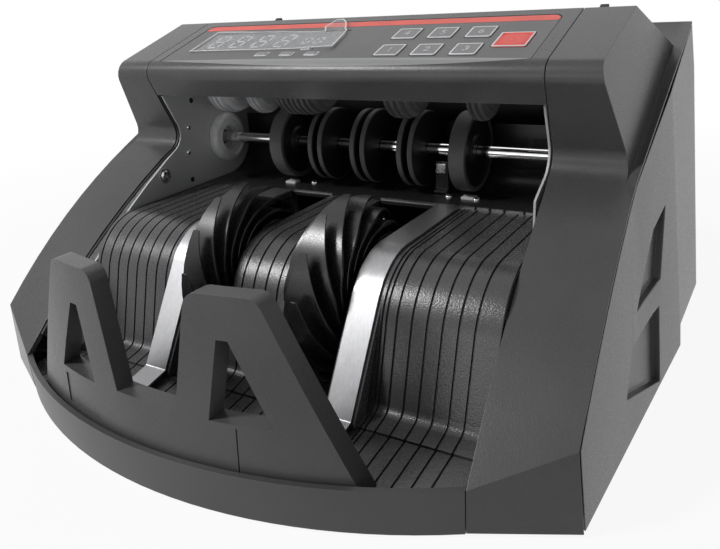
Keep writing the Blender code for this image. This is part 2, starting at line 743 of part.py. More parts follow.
def strip_rib(piece, x0):
    """A rib that stands out of a guide and carries the strip down to its foot."""
    line = guide_line()
    seat = offset_line(line, -GUIDE_WALL / 2)[RIB_LEAVES - 1:]
    outline = [line[RIB_LEAVES - 1], (RIB_LOW_Y, RIB_LOW_Z), (RIB_LOW_Y, RIB_SOLE_Z), (RIB_SOLE_Y, RIB_SOLE_Z)]
    name = piece.name + "_rib"
    mesh = prism_mesh(name, outline + seat[::-1], x0 - RIB_SIDE, x0 + STRIP_WIDTH + RIB_SIDE, 0)
    join(piece, cutter(name, mesh))


def guide_wing(piece):
    """The right guide's side widens with the band of the cheek beside it."""
    line = [(WING_REAR_Y, GUIDE_TOP_Z)] + guide_line()[1:] + [(GUIDE_FOOT_Y, GUIDE_FOOT_Z)]

    def rows(points):
        return [
            [(GUIDE_END_X - OVERRUN, *p), (inner_x(q[0]) - WING_CLEAR, *p)]
            for p, q in zip(points, line)
        ]

    under = offset_line(line, -GUIDE_WALL)
    join(piece, cutter("guide_wing", grid_mesh("guide_wing", rows(line), rows(under))))


def strip(name, x0):
    line = guide_line()[:RIB_LEAVES] + [(RIB_LOW_Y, RIB_LOW_Z), (STRIP_FOOT_Y, STRIP_FOOT_Z)]
    outline = offset_line(line, GAP) + offset_line(line, GAP + STRIP_THICK)[::-1]
    return link(name, prism_mesh(name, outline, x0, x0 + STRIP_WIDTH, 0), STEEL)


def tray_floor():
    half = BAND_LOW_X - TRAY_CLEAR
    drop = (TRAY_REAR_Z - TRAY_FRONT_Z) / (TRAY_REAR_Y - SKIRT_FRONT_Y)

    def grid(depth):
        return [
            [(x, TRAY_REAR_Y, TRAY_REAR_Z - depth), (x, y, TRAY_REAR_Z - drop * (TRAY_REAR_Y - y) - depth)]
            for x, y in skirt_arc(SKIRT_WALL + GAP, half, SKIRT_STEPS)
        ]

    floor = link("tray_floor", grid_mesh("tray_floor", grid(0), grid(TRAY_THICK)), CHARCOAL)
    low = HOUSING_LOW_Z + FLOOR_PLATE + GAP
    leg_front = TRAY_REAR_Y - TRAY_LEG_SETBACK
    leg_top = TRAY_REAR_Z - drop * TRAY_LEG_SETBACK - TRAY_THICK + TRAY_LEG_SINK
    for tag, x in (("left", -TRAY_LEG_X), ("right", TRAY_LEG_X)):
        leg = box_mesh(
            "tray_leg_" + tag,
            (x - TRAY_LEG_WIDTH / 2, leg_front - TRAY_LEG_WIDTH, low),
            (x + TRAY_LEG_WIDTH / 2, leg_front, leg_top),
        )
        join(floor, cutter("tray_leg_" + tag, leg))


def stopper():
    """Two slanted letters A on one curved foot, cut from a slab bent to the skirt's arc."""
    share = (STOP_BRIDGE_Z - STOP_LOW_Z) / (STOP_TOP_Z - STOP_LOW_Z)
    bridge_x = STOP_LOW_INNER + (STOP_TOP_INNER - STOP_LOW_INNER) * share
    right = [
        (STOP_LOW_OUTER, STOP_LOW_Z), (STOP_TOP_OUTER, STOP_TOP_Z), (STOP_TOP_INNER, STOP_TOP_Z),
        (bridge_x, STOP_BRIDGE_Z),
    ]
    curved = [right[0]]
    for i in (1, 2):
        curved += rounded(right[i - 1], right[i], right[i + 1], STOP_ROUND, ROUND_STEPS)
    curved.append(right[3])
    outline = curved + [(-x, z) for x, z in reversed(curved)]
    outline = [(STOP_CENTRE_X + x, z) for x, z in outline]
    reach = STOP_LOW_OUTER + STOP_BLANK

    def slab(depth):
        rows = []
        for x in np.linspace(-reach, reach, SKIRT_STEPS + 1):
            rows.append([
                (x, skirt_y(x, STOP_INSET + depth) + lean, z)
                for z, lean in ((STOP_LOW_Z - OVERRUN, 0), (STOP_TOP_Z + OVERRUN, STOP_LEAN))
            ])
        return rows

    piece = link("stopper", grid_mesh("stopper", slab(0), slab(STOP_THICK)), CHARCOAL)
    letters = prism_mesh("stopper_letters", outline, SKIRT_FRONT_Y - OVERRUN, CORNER_Y, 1)
    combine(piece, cutter("stopper_letters", letters), "INTERSECT")
    for tag, sign in (("left", -1), ("right", 1)):
        window = [
            (STOP_WINDOW_LOW_X - STOP_WINDOW_LOW_HALF, STOP_WINDOW_LOW_Z),
            (STOP_WINDOW_LOW_X + STOP_WINDOW_LOW_HALF, STOP_WINDOW_LOW_Z),
            (STOP_WINDOW_TOP_X + STOP_WINDOW_TOP_HALF, STOP_WINDOW_TOP_Z),
            (STOP_WINDOW_TOP_X - STOP_WINDOW_TOP_HALF, STOP_WINDOW_TOP_Z),
        ]
        window = [(STOP_CENTRE_X + sign * x, z) for x, z in window]
        hole = prism_mesh("stopper_window_" + tag, window, SKIRT_FRONT_Y - OVERRUN, CORNER_Y, 1)
        cut(piece, cutter("stopper_window_" + tag, hole))


def panel_cover(frame):
    rear, nose, lip = (TOP_REAR_Y, TOP_REAR_Z), (NOSE_Y, NOSE_Z), (LIP_Y, LIP_Z)
    line = [rear] + rounded(rear, nose, lip, PANEL_ROUND, ROUND_STEPS) + [lip]
    outline = line + offset_line(line, -PANEL_WALL)[::-1]
    cover = link("panel_cover", prism_mesh("panel_cover", outline, -SEAM_X, SEAM_X, 0), CHARCOAL)
    recess = prism_mesh("panel_recess", label_outline(0), -RECESS_DEPTH, OVERRUN, 2)
    opening = slab_mesh("window_opening", WINDOW_WIDTH - 2 * WINDOW_LEDGE, WINDOW_DEPTH - 2 * WINDOW_LEDGE,
                        -PANEL_WALL - OVERRUN, OVERRUN)
    tools = [cutter("panel_recess", recess, frame), cutter("window_opening", opening, frame)]
    tools[1].location = (WINDOW_X, WINDOW_V, 0)
    for name, x, v, width, depth in key_places():
        hole = slab_mesh(name + "_hole", width + 2 * GAP, depth + 2 * GAP, -PANEL_WALL - OVERRUN, OVERRUN)
        tools.append(cutter(name + "_hole", hole, frame))
        tools[-1].location = (x, v, 0)
    cut(cover, *tools)


def slab_mesh(name, width, depth, low, high):
    """A block centred across and along the panel, between two heights over it."""
    return box_mesh(name, (-width / 2, -depth / 2, low), (width / 2, depth / 2, high))


def label_outline(inset):
    half, front, rear = RECESS_HALF_X - inset, RECESS_FRONT_V + inset, RECESS_REAR_V - inset
    corner = rounded((half, front), (half, rear), (-half, rear), RECESS_ROUND, ROUND_STEPS)
    return [(-half, front), (half, front)] + corner + [(-x, v) for x, v in reversed(corner)]


def key_places():
    places = []
    for row, v in (("rear", KEY_ROW_REAR), ("front", KEY_ROW_FRONT)):
        for column in range(3):
            x = KEY_FIRST_X + column * KEY_PITCH
            places.append(("key_" + row + "_" + str(column + 1), x, v, KEY_WIDTH, KEY_DEPTH))
    places.append(("key_red", RED_X, RED_V, RED_WIDTH, RED_DEPTH))
    return places


def panel_parts(frame):
    label_low = GAP - RECESS_DEPTH
    label_top = label_low + LABEL_THICK
    label = prism_mesh("panel_label", label_outline(GAP), label_low, label_top, 2)
    label = link("panel_label", label, LABEL, frame)
    for name, x, v, width, depth in key_places():
        hole = slab_mesh(name + "_slot", width + 2 * GAP, depth + 2 * GAP, -OVERRUN, OVERRUN)
        tool = cutter(name + "_slot", hole, frame)
        tool.location = (x, v, 0)
        cut(label, tool)
        key = slab_mesh(name, width, depth, KEY_RISE - KEY_HEIGHT, KEY_RISE)
        key = link(name, key, RED if name == "key_red" else KEY_GREY, frame)
        key.location = (x, v, 0)
    hole = slab_mesh("window_slot", WINDOW_WIDTH, WINDOW_DEPTH, -OVERRUN, OVERRUN)
    slot = cutter("window_slot", hole, frame)
    slot.location = (WINDOW_X, WINDOW_V, 0)
    cut(label, slot)
    pane = slab_mesh("display_window", WINDOW_WIDTH - 2 * GAP, WINDOW_DEPTH - 2 * GAP, label_low, label_top)
    link("display_window", pane, SMOKED, frame).location = (WINDOW_X, WINDOW_V, 0)
    left, right = WINDOW_X - WINDOW_WIDTH / 2 - FILM_SPREAD, WINDOW_X + WINDOW_WIDTH / 2
    half = WINDOW_DEPTH / 2 + FILM_SPREAD
    front, rear = WINDOW_V - half, WINDOW_V + half
    film = [
        (left, front), (right, front), (right, rear),
        (FILM_TAB_X, FILM_TAB_V), (FILM_TAB_X, rear), (left, rear),
    ]
    low = label_top + GAP
    link("display_film", prism_mesh("display_film", film, low, low + FILM_THICK, 2), FILM, frame)


def display_board(frame):
    board = box_mesh("display_board", (-BOARD_HALF_X, BOARD_FRONT_V, BOARD_LOW),
                     (BOARD_HALF_X, BOARD_REAR_V, BOARD_TOP))
    board = link("display_board", board, BOARD, frame)
    middle = (BOARD_LOW + BOARD_TOP) / 2
    blocks = [
        ("digits_large", DIGITS_X, WINDOW_V, DIGITS_WIDTH, DIGITS_DEPTH, DIGITS_TOP),
        ("digits_small", SMALL_DIGITS_X, WINDOW_V, SMALL_DIGITS_WIDTH, SMALL_DIGITS_DEPTH, DIGITS_TOP),
    ]
    for i, share in enumerate(LAMP_SHARES):
        x = RECESS_HALF_X * share
        blocks.append(("lamp_" + str(i + 1), x, LAMP_V, LAMP_WIDTH, LAMP_DEPTH, BOARD_POST_TOP))
    corner = LAMP_WIDTH / 2
    for tag, x in (("left", corner - BOARD_HALF_X), ("right", BOARD_HALF_X - corner)):
        for end, v in (("front", BOARD_FRONT_V + corner), ("rear", BOARD_REAR_V - corner)):
            blocks.append(("post_" + tag + "_" + end, x, v, LAMP_DEPTH, LAMP_DEPTH, BOARD_POST_TOP))
    for name, x, v, width, depth, top in blocks:
        tool = cutter(name, slab_mesh(name, width, depth, middle, top), frame)
        tool.location = (x, v, 0)
        join(board, tool)


def ring_profile(x0, x1, bore, radius):
    return [(x0, bore), (x0, radius), (x1, radius), (x1, bore)]


def shaft(name, rotor, reach_right):
    left = -(PLATE_X + PLATE_THICK + SHAFT_OVER)
    profile = [(left, 0), (left, SHAFT_RADIUS), (reach_right, SHAFT_RADIUS), (reach_right, 0)]
    return link(name, turned_mesh(name, profile), STEEL, rotor)


def main_rotor():
    rotor = empty("main_rotor", (0, MAIN_Y, MAIN_Z))
    bore = SHAFT_RADIUS + GAP
    shaft("main_shaft", rotor, PULLEY_X + PULLEY_WIDTH + GAP)
    for name, share in zip(("wide_wheel_left", "wide_wheel_right"), WIDE_WHEEL_SHARES):
        x = GUIDE_END_X * share
        profile = ring_profile(x - WIDE_WHEEL / 2, x + WIDE_WHEEL / 2, bore, WIDE_WHEEL_RADIUS)
        link(name, turned_mesh(name, profile), RUBBER, rotor)
    half = DISC_PAIR / 2
    for name, share in zip(("disc_wheel_left", "disc_wheel_middle", "disc_wheel_right"), DISC_WHEEL_SHARES):
        x = GUIDE_END_X * share
        profile = [
            (x - half, bore), (x - half, DISC_RADIUS), (x - half + DISC_THICK, DISC_RADIUS),
            (x - half + DISC_THICK, HUB_RADIUS), (x + half - DISC_THICK, HUB_RADIUS),
            (x + half - DISC_THICK, DISC_RADIUS), (x + half, DISC_RADIUS), (x + half, bore),
        ]
        link(name, turned_mesh(name, profile), RUBBER, rotor)
    x0, x1, radius = PULLEY_X, PULLEY_X + PULLEY_WIDTH, MAIN_PULLEY_RADIUS
    lip = radius + PULLEY_LIP
    profile = [
        (x0, bore), (x0, lip), (x0 + PULLEY_FLANGE, lip), (x0 + PULLEY_FLANGE, radius),
        (x1 - PULLEY_FLANGE, radius), (x1 - PULLEY_FLANGE, lip), (x1, lip), (x1, bore),
    ]
    link("main_pulley", turned_mesh("main_pulley", profile), BLACK, rotor)


def panel_angle():
    return math.atan2(TOP_REAR_Z - TOP_FRONT_Z, TOP_REAR_Y - TOP_FRONT_Y)


def feed_fit():
    """Height and radius of the feed rollers, which clear the board above and the wide wheels below."""
    angle = panel_angle()
    ceiling = TOP_FRONT_Z + math.tan(angle) * (FEED_Y - TOP_FRONT_Y)
    cover = FEED_CLEAR - BOARD_LOW
    room = WIDE_WHEEL_RADIUS + NIP_GAP + (ceiling - MAIN_Z) * math.cos(angle) - cover
    left = room ** 2 - FEED_SETBACK ** 2
    rise = left / (room * math.cos(angle) + math.sqrt(room ** 2 - (FEED_SETBACK * math.sin(angle)) ** 2))
    return MAIN_Z + rise, (ceiling - MAIN_Z - rise) * math.cos(angle) - cover


def feed_rotor():
    height, radius = feed_fit()
    rotor = empty("feed_rotor", (0, FEED_Y, height))
    shaft("feed_shaft", rotor, PLATE_X + PLATE_THICK + SHAFT_OVER)
    for i, (start, width) in enumerate(FEED_ROLLER_SHARES):
        name = "feed_roller_" + str(i + 1)
        x0, x1 = GUIDE_END_X * start, GUIDE_END_X * (start + width)
        bore = SHAFT_RADIUS + GAP
        crown = [(x0 + (x1 - x0) * along, radius * out) for along, out in FEED_CROWN_SHARES]
        link(name, turned_mesh(name, [(x0, bore)] + crown + [(x1, bore)]), PALE, rotor)


def stacking_wheel(name, rotor, x0, x1, turn):
    """A hub with thin vanes that spiral out to pointed tips."""
    centre, half = (x0 + x1) / 2, (x1 - x0) / 2 - STACK_SIDE_GAP

    def spine(tip, share):
        angle = tip + VANE_SWEEP * (1 - share)
        radius = STACK_HUB + (STACK_RADIUS - STACK_HUB) * share
        return Vector((radius * math.cos(angle), radius * math.sin(angle)))

    outline = []
    shares = np.linspace(0, 1, VANE_STEPS + 1)
    for vane in reversed(range(VANES)):
        tip = turn + math.tau * vane / VANES
        outside, inside = [], []
        for share in shares:
            nudge = GAP / STACK_RADIUS
            along = (spine(tip, share + nudge) - spine(tip, share - nudge)).normalized()
            side = Vector((-along.y, along.x))
            thick = VANE_ROOT + (VANE_TIP - VANE_ROOT) * share
            narrow = max(0, (share - VANE_NARROW_SHARE) / (1 - VANE_NARROW_SHARE))
            width = half + (VANE_POINT - half) * narrow
            outside.append((spine(tip, share) + side * thick / 2, width))
            inside.append((spine(tip, share) - side * thick / 2, width))
        outline += outside + inside[::-1]
        angle = tip + VANE_SWEEP - math.pi / VANES
        valley = STACK_HUB - VANE_ROOT / 2
        outline.append((Vector((valley * math.cos(angle), valley * math.sin(angle))), half))
    count = len(outline)
    points = [(centre - width, *spot) for spot, width in outline]
    points += [(centre + width, *spot) for spot, width in outline]
    faces = [tuple(range(count)), tuple(range(count, 2 * count))]
    faces += [(i, (i + 1) % count, count + (i + 1) % count, count + i) for i in range(count)]
    wheel = link(name, mesh_from(name, points, faces), BLACK, rotor)
    profile = [(x0, 0), (x0, SHAFT_RADIUS + GAP), (x1, SHAFT_RADIUS + GAP), (x1, 0)]
    cut(wheel, cutter(name + "_bore", turned_mesh(name + "_bore", profile, HOLE_SIDES), rotor))


def stacking_rotor():
    rotor = empty("stacking_rotor", (0, STACK_Y, STACK_Z))
    shaft("stacking_shaft", rotor, PLATE_X + PLATE_THICK + SHAFT_OVER)
    stacking_wheel("stacking_wheel_left", rotor, SLOT_LEFT_X, -MIDDLE_HALF_X, VANE_TURN_LEFT)
    stacking_wheel("stacking_wheel_right", rotor, MIDDLE_HALF_X, SLOT_RIGHT_X, VANE_TURN_RIGHT)


def bush(name, side):
    height = PLATE_X - GAP - BUSH_FACE_X
    profile = [(0, BUSH_BORE)] + [(height * along, BUSH_RADIUS * out) for along, out in BUSH_DOME_SHARES]
    profile.append((height, BUSH_BORE))
    profile = [(side * (PLATE_X - GAP - x), radius) for x, radius in profile]
    link(name, turned_mesh(name, profile), PALE).location = (0, MAIN_Y, MAIN_Z)


def plate_liner(line):
    """A lip on the left plate that flares with the cheek's inner edge, down to the tray."""
    edge = offset_line(line, -PLATE_SETBACK)
    deep = offset_line(line, -PLATE_SETBACK - LINER_DEPTH)
    middle = PLATE_X + PLATE_THICK / 2

    def rows(across):
        made = []
        for (y, z), (low_y, low_z) in zip(edge, deep):
            if y < PLATE_TOE_Y or z < TRAY_REAR_Z + LINER_DEPTH / 2:
                continue
            flare = max(inner_x(y) - LINER_GAP, middle)
            made.append([(-flare - across, y, z), (-middle - across, low_y, max(low_z, TRAY_REAR_Z + GAP))])
        return made

    return grid_mesh("plate_liner", rows(-LINER_THICK / 2), rows(LINER_THICK / 2))


def frame_plate(name, side):
    notch, band = inner_lines()
    share = (NOSE_Z - LIP_Z + PLATE_SETBACK) / (NOSE_Z - WAIST_Z)
    start = between((NOSE_Y, NOSE_Z), (WAIST_Y, WAIST_Z), share)
    line = offset_line([start] + notch + band[1:], -PLATE_SETBACK)
    low = HOUSING_LOW_Z + FLOOR_PLATE + GAP
    lifted = BASE_LIFT_Z + FLOOR_PLATE + GAP
    over_tray = TRAY_REAR_Z + GAP
    if side < 0:
        edge = [p for p in line if p[0] > PLATE_TOE_Y]
        outline = [(PLATE_FRONT_Y, low), (PLATE_FRONT_Y, over_tray), (PLATE_TOE_Y, over_tray)] + edge[::-1]
    else:
        under = offset_line(guide_line()[1:], -GUIDE_WALL - GAP)
        start = WING_REAR_Y + GAP
        edge = [p for p in line if p[0] > start]
        share = (start - line[len(edge)][0]) / (edge[-1][0] - line[len(edge)][0])
        outline = [(under[-1][0], low)] + under[::-1] + [(start, under[0][1])]
        outline += [between(line[len(edge)], edge[-1], share)] + edge[::-1]
    outline += [
        (LIP_Y + PLATE_STEP, LIP_Z - GAP), (LIP_Y + PLATE_STEP, TOP_FRONT_Z - PLATE_DROP),
        (TOP_REAR_Y, TOP_REAR_Z - PLATE_CROWN_DROP), (PLATE_REAR_Y, SHOULDER_REAR_Z - PLATE_REAR_DROP),
        (PLATE_REAR_Y, lifted),
        (BASE_STEP_Y - TRAY_CLEAR, lifted), (BASE_STEP_Y - TRAY_CLEAR, low),
    ]
    x0, x1 = sorted((side * PLATE_X, side * (PLATE_X + PLATE_THICK)))
    plate = link(name, prism_mesh(name, outline, x0, x1, 0), GREY_PLATE)
    if side < 0:
        join(plate, cutter("plate_liner", plate_liner(notch[-1:] + band[1:])))
    holes = [(MAIN_Y, MAIN_Z), (FEED_Y, feed_fit()[0]), (STACK_Y, STACK_Z)]
    if side > 0:
        holes.append((MOTOR_Y, MOTOR_Z))
    for i, (y, z) in enumerate(holes):
        tag = name + "_hole_" + str(i + 1)
        start, stop = x0 - OVERRUN, x1 + OVERRUN
        profile = [(start, 0), (start, SHAFT_HOLE), (stop, SHAFT_HOLE), (stop, 0)]
        hole = cutter(tag, turned_mesh(tag, profile, HOLE_SIDES))
        hole.location = (0, y, z)
        cut(plate, hole)


def deck():
    radius = WIDE_WHEEL_RADIUS + DECK_CLEAR
    top = MAIN_Z - radius
    curve = arc_points((MAIN_Y, MAIN_Z), radius, -math.pi / 2, 0, DECK_STEPS)
    line = [(GUIDE_TOP_Y + GAP, top)] + curve + [(MAIN_Y + radius, DECK_TOP_Z)]
    outline = line + offset_line(line, DECK_THICK)[::-1]
    link("deck_plate", prism_mesh("deck_plate", outline, -GUIDE_END_X, GUIDE_END_X, 0), BLACK)
    low = top + GAP
    outline = [
        (MAIN_Y - BRACKET_WIDTH / 2, low), (MAIN_Y, low), (MAIN_Y, BRACKET_TOP_Z),
        (MAIN_Y - BRACKET_THICK, BRACKET_TOP_Z), (MAIN_Y - BRACKET_THICK, low + BRACKET_THICK),
        (MAIN_Y - BRACKET_WIDTH / 2, low + BRACKET_THICK),
    ]
    half = BRACKET_WIDTH / 2
    mesh = prism_mesh("sensor_bracket", outline, BRACKET_X - half, BRACKET_X + half, 0)
    link("sensor_bracket", mesh, STEEL)


def drive():
    face = PLATE_X - GAP
    profile = [
        (face - MOTOR_LENGTH, 0), (face - MOTOR_LENGTH, MOTOR_RADIUS - MOTOR_BEVEL),
        (face - MOTOR_LENGTH + MOTOR_BEVEL, MOTOR_RADIUS), (face - MOTOR_BEVEL, MOTOR_RADIUS),
        (face, MOTOR_RADIUS - MOTOR_BEVEL), (face, 0),
    ]
    link("motor", turned_mesh("motor", profile), ZINC).location = (0, MOTOR_Y, MOTOR_Z)
    x0, x1, radius = PULLEY_X, PULLEY_X + PULLEY_WIDTH, MOTOR_PULLEY_RADIUS
    lip = radius + PULLEY_LIP
    profile = [
        (PLATE_X, 0), (PLATE_X, SHAFT_RADIUS), (x0, SHAFT_RADIUS), (x0, lip),
        (x0 + PULLEY_FLANGE, lip), (x0 + PULLEY_FLANGE, radius),
        (x1 - PULLEY_FLANGE, radius), (x1 - PULLEY_FLANGE, lip), (x1, lip), (x1, 0),
    ]
    pulley = link("motor_pulley", turned_mesh("motor_pulley", profile, HOLE_SIDES), BLACK)
    pulley.location = (0, MOTOR_Y, MOTOR_Z)
    reach = Vector((MOTOR_Y - MAIN_Y, MOTOR_Z - MAIN_Z))
    heading = math.atan2(reach.y, reach.x)

    def loop(extra):
        large, small = MAIN_PULLEY_RADIUS + extra, MOTOR_PULLEY_RADIUS + extra
        spread = math.acos((large - small) / reach.length)
        first, last = heading + spread, heading + math.tau - spread
        round_main = arc_points((MAIN_Y, MAIN_Z), large, first, last, BELT_STEPS)
        return round_main + arc_points((MOTOR_Y, MOTOR_Z), small, last - math.tau, first, BELT_STEPS)

    outer, inner = loop(GAP + BELT_THICK), loop(GAP)
    near, far = x0 + PULLEY_FLANGE + GAP, x1 - PULLEY_FLANGE - GAP
    rows = [[(near, *p), (far, *p)] for p in outer]
    backs = [[(near, *p), (far, *p)] for p in inner]
    count = len(rows)
    points = [p for row in rows + backs for p in row]
    faces = []
    for i in range(count):
        a, b = 2 * i, 2 * ((i + 1) % count)
        c, d = a + 2 * count, b + 2 * count
        faces += [(a, a + 1, b + 1, b), (c, d, d + 1, c + 1)]
        faces += [(a, b, d, c), (a + 1, c + 1, d + 1, b + 1)]
    link("drive_belt", mesh_from("drive_belt", points, faces), BELT)


def on_hopper(along, out):
    """A point of the hopper plate's side view, from its lower edge up the slope and out from it."""
    rise, run = math.sin(HOPPER_SLOPE), math.cos(HOPPER_SLOPE)
    return (HOPPER_LOW_Y + along * run - out * rise, HOPPER_LOW_Z + along * rise + out * run)


def hopper():
    corners = ((0, -HOPPER_WALL), (HOPPER_LENGTH, -HOPPER_WALL), (HOPPER_LENGTH, 0), (0, 0))
    outline = [on_hopper(*p) for p in corners]
    link("hopper_plate", prism_mesh("hopper_plate", outline, -GUIDE_END_X, GUIDE_END_X, 0), CHARCOAL)
    corners = (
        (FIN_START, GAP), (FIN_END, GAP), (FIN_END, FIN_HEIGHT),
        (FIN_START + FIN_HEIGHT, FIN_HEIGHT), (FIN_START, FIN_NOSE),
    )
    mesh = prism_mesh("hopper_fin", [on_hopper(*p) for p in corners], -FIN_THICK / 2, FIN_THICK / 2, 0)
    link("hopper_fin_left", mesh, BLACK).location = (-FIN_X, 0, 0)
    link("hopper_fin_right", mesh, BLACK).location = (FIN_X, 0, 0)
    profile = [
        (0, 0), (0, KNOB_RADIUS), (KNOB_HEIGHT - GAP, KNOB_RADIUS),
        (KNOB_HEIGHT, KNOB_RADIUS - GAP), (KNOB_HEIGHT, 0),
    ]
    knob = link("gap_knob", turned_mesh("gap_knob", profile, KNOB_SIDES), BLACK)
    knob.location = (0, *on_hopper(KNOB_ALONG, GAP))
    out = Vector((0, -math.sin(HOPPER_SLOPE), math.cos(HOPPER_SLOPE)))
    knob.rotation_euler = Vector((1, 0, 0)).rotation_difference(out).to_euler()


def rear_cover():
    low_half = base_half_width(SIDE_REAR_Y, REAR_LOW_Z)
    top_half = base_half_width(SIDE_REAR_Y, REAR_TOP_Z)
    right = [(low_half, REAR_LOW_Z), (top_half, REAR_TOP_Z)]
    outline = right + [(-x, z) for x, z in reversed(right)]
    cover = link("rear_cover", prism_mesh("rear_cover", outline, REAR_Y, REAR_Y + REAR_WALL, 1), CHARCOAL)
    half, tall = INLET_WIDTH / 2 + GAP, INLET_HEIGHT / 2 + GAP
    hole = box_mesh(
        "inlet_hole", (INLET_X - half, REAR_Y - OVERRUN, INLET_Z - tall),
        (INLET_X + half, REAR_Y + REAR_WALL + OVERRUN, INLET_Z + tall),
    )
    half, tall = SWITCH_WIDTH / 2 + GAP, SWITCH_RADIUS + SWITCH_CLEAR
    gate = box_mesh(
        "switch_hole", (SWITCH_X - half, REAR_Y - OVERRUN, SWITCH_Z - tall),
        (SWITCH_X + half, REAR_Y + REAR_WALL + OVERRUN, SWITCH_Z + tall),
    )
    cut(cover, cutter("inlet_hole", hole), cutter("switch_hole", gate))


def power_parts():
    outline = arc_points((0, 0), SWITCH_RADIUS, -SWITCH_REACH, SWITCH_REACH, SWITCH_STEPS)
    outline[SWITCH_STEPS // 2] = (SWITCH_DIP, 0)
    mesh = prism_mesh("power_switch", outline, -SWITCH_WIDTH / 2, SWITCH_WIDTH / 2, 0)
    rocker = link("power_switch", mesh, BLACK)
    rocker.location = (SWITCH_X, REAR_Y - GAP, SWITCH_Z)
    rocker.rotation_euler = (SWITCH_TILT, 0.0, 0.0)
    half, tall = INLET_WIDTH / 2, INLET_HEIGHT / 2
    face = REAR_Y + REAR_WALL + GAP
    inner = REAR_Y - INLET_BODY

    def block(name, wide, high, y0, y1, x=0.0, z=0.0):
        return box_mesh(name, (x - wide, y0, z - high), (x + wide, y1, z + high))

    inlet = link("power_inlet", block("power_inlet", half, tall, inner, INLET_OUT_Y), BLACK)
    wide, high = half + INLET_FLANGE, tall + INLET_FLANGE
    flange = block("inlet_flange", wide, high, face, face + INLET_FLANGE_THICK)
    wide, high = half - INLET_RIM, tall - INLET_RIM
    well = block("inlet_well", wide, high, inner + INLET_RIM, INLET_OUT_Y + OVERRUN)
    tools = [cutter("inlet_flange", flange), cutter("inlet_well", well)]
    join(inlet, tools[0])
    cut(inlet, tools[1])
    drop = PIN_HEIGHT / 2
    for i, (x, z) in enumerate(((-PIN_PITCH, -drop), (0, drop), (PIN_PITCH, -drop))):
        name = "inlet_pin_" + str(i + 1)
        pin = block(name, PIN_WIDTH / 2, PIN_HEIGHT / 2, inner + INLET_RIM / 2, face, x, z)
        tools.append(cutter(name, pin))
        join(inlet, tools[-1])
    for thing in [inlet] + tools:
        thing.location = (INLET_X, 0, INLET_Z)


def main():
    clear()
    frame = empty("panel_frame", (0, TOP_FRONT_Y, TOP_FRONT_Z), panel_angle())
    base_tray()
    feet()
    for tag, side in (("left", -1), ("right", 1)):
        cheek("cheek_" + tag, side)
        side_cover("side_cover_" + tag, side)
        frame_plate("frame_plate_" + tag, side)
        bush("bush_" + tag, side)
    panel_cover(frame)
    panel_parts(frame)
    display_board(frame)
    main_rotor()
    feed_rotor()
    stacking_rotor()
    strip_rib(guide("guide_left", -GUIDE_END_X, SLOT_LEFT_X), SLOT_LEFT_X - STRIP_WIDTH)
    guide("guide_middle", -MIDDLE_HALF_X, MIDDLE_HALF_X)
    right = guide("guide_right", SLOT_RIGHT_X, GUIDE_END_X)
    strip_rib(right, SLOT_RIGHT_X)
    guide_wing(right)
    strip("strip_left", SLOT_LEFT_X - STRIP_WIDTH)
    strip("strip_right", SLOT_RIGHT_X)
    tray_floor()
    stopper()
    deck()
    drive()
    hopper()
    rear_cover()
    power_parts()


main()
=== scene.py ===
"""Banknote counter: the dressed model around its packed parts, as an add-on that is run as a script.

Metres, +Z up, -Y is the front where the notes are stacked, and Z = 0 is the table.
"""

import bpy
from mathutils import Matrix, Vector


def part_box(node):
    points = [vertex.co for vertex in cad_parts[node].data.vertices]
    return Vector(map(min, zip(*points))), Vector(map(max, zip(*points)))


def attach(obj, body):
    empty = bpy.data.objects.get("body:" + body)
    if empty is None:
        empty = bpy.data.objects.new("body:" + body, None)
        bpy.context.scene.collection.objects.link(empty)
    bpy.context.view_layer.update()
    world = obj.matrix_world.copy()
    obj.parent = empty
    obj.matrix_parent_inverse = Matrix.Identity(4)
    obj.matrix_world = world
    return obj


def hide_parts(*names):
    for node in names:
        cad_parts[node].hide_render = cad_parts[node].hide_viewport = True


bl_info = {
    "name": "Banknote Counter",
    "version": (1, 0, 0),
    "blender": (4, 5, 0),
    "location": "3D View > Sidebar > Counter",
    "description": "Builds a banknote counter's covers, note path, wheels and panel on its packed parts",
    "category": "Add Mesh",
}

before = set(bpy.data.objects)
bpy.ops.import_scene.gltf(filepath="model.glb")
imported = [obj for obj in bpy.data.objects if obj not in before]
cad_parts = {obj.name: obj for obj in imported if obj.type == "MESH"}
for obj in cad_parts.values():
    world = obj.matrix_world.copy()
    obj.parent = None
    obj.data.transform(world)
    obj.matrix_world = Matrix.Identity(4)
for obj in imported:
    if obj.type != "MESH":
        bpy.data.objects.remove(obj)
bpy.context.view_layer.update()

import math

import bmesh
import bpy
from bpy.props import FloatProperty, FloatVectorProperty, PointerProperty
from mathutils import Matrix, Vector

GAP = 0.0003
SIDES = ("left", "right")

# Control panel: its front corner, its slope and what lies on it
SEAM_X = 0.0980
TOP_FRONT = (0.0, 0.1332)
TOP_REAR = (0.0503, 0.1488)
NOSE = (-0.0021, 0.13255)
LIP = (0.0048, 0.1182)
PANEL_WALL = 0.0025
PANEL_ROUND = 0.0065
PANEL_SLOPE = math.atan2(TOP_REAR[1] - TOP_FRONT[1], TOP_REAR[0] - TOP_FRONT[0])
PANEL = Matrix.Translation((0, *TOP_FRONT)) @ Matrix.Rotation(PANEL_SLOPE, 4, "X")
RECESS_HALF_X, RECESS_FRONT_V, RECESS_REAR_V = 0.0920, 0.0042, 0.0472
RECESS_DEPTH = 0.0009
RECESS_ROUND = 0.0040
LABEL_TOP = -0.0001
BAND_END_X = 0.0921
BAND_END, BAND_REAR, BAND_FRONT = 0.0046, 0.0015, 0.0034
BAND_SWELLS = (1.6, 3.0)
WINDOW = (0.0790, 0.0220, (-0.0405, 0.0262))
WINDOW_LEDGE = 0.0015
KEY_SIZE = (0.0110, 0.0105)
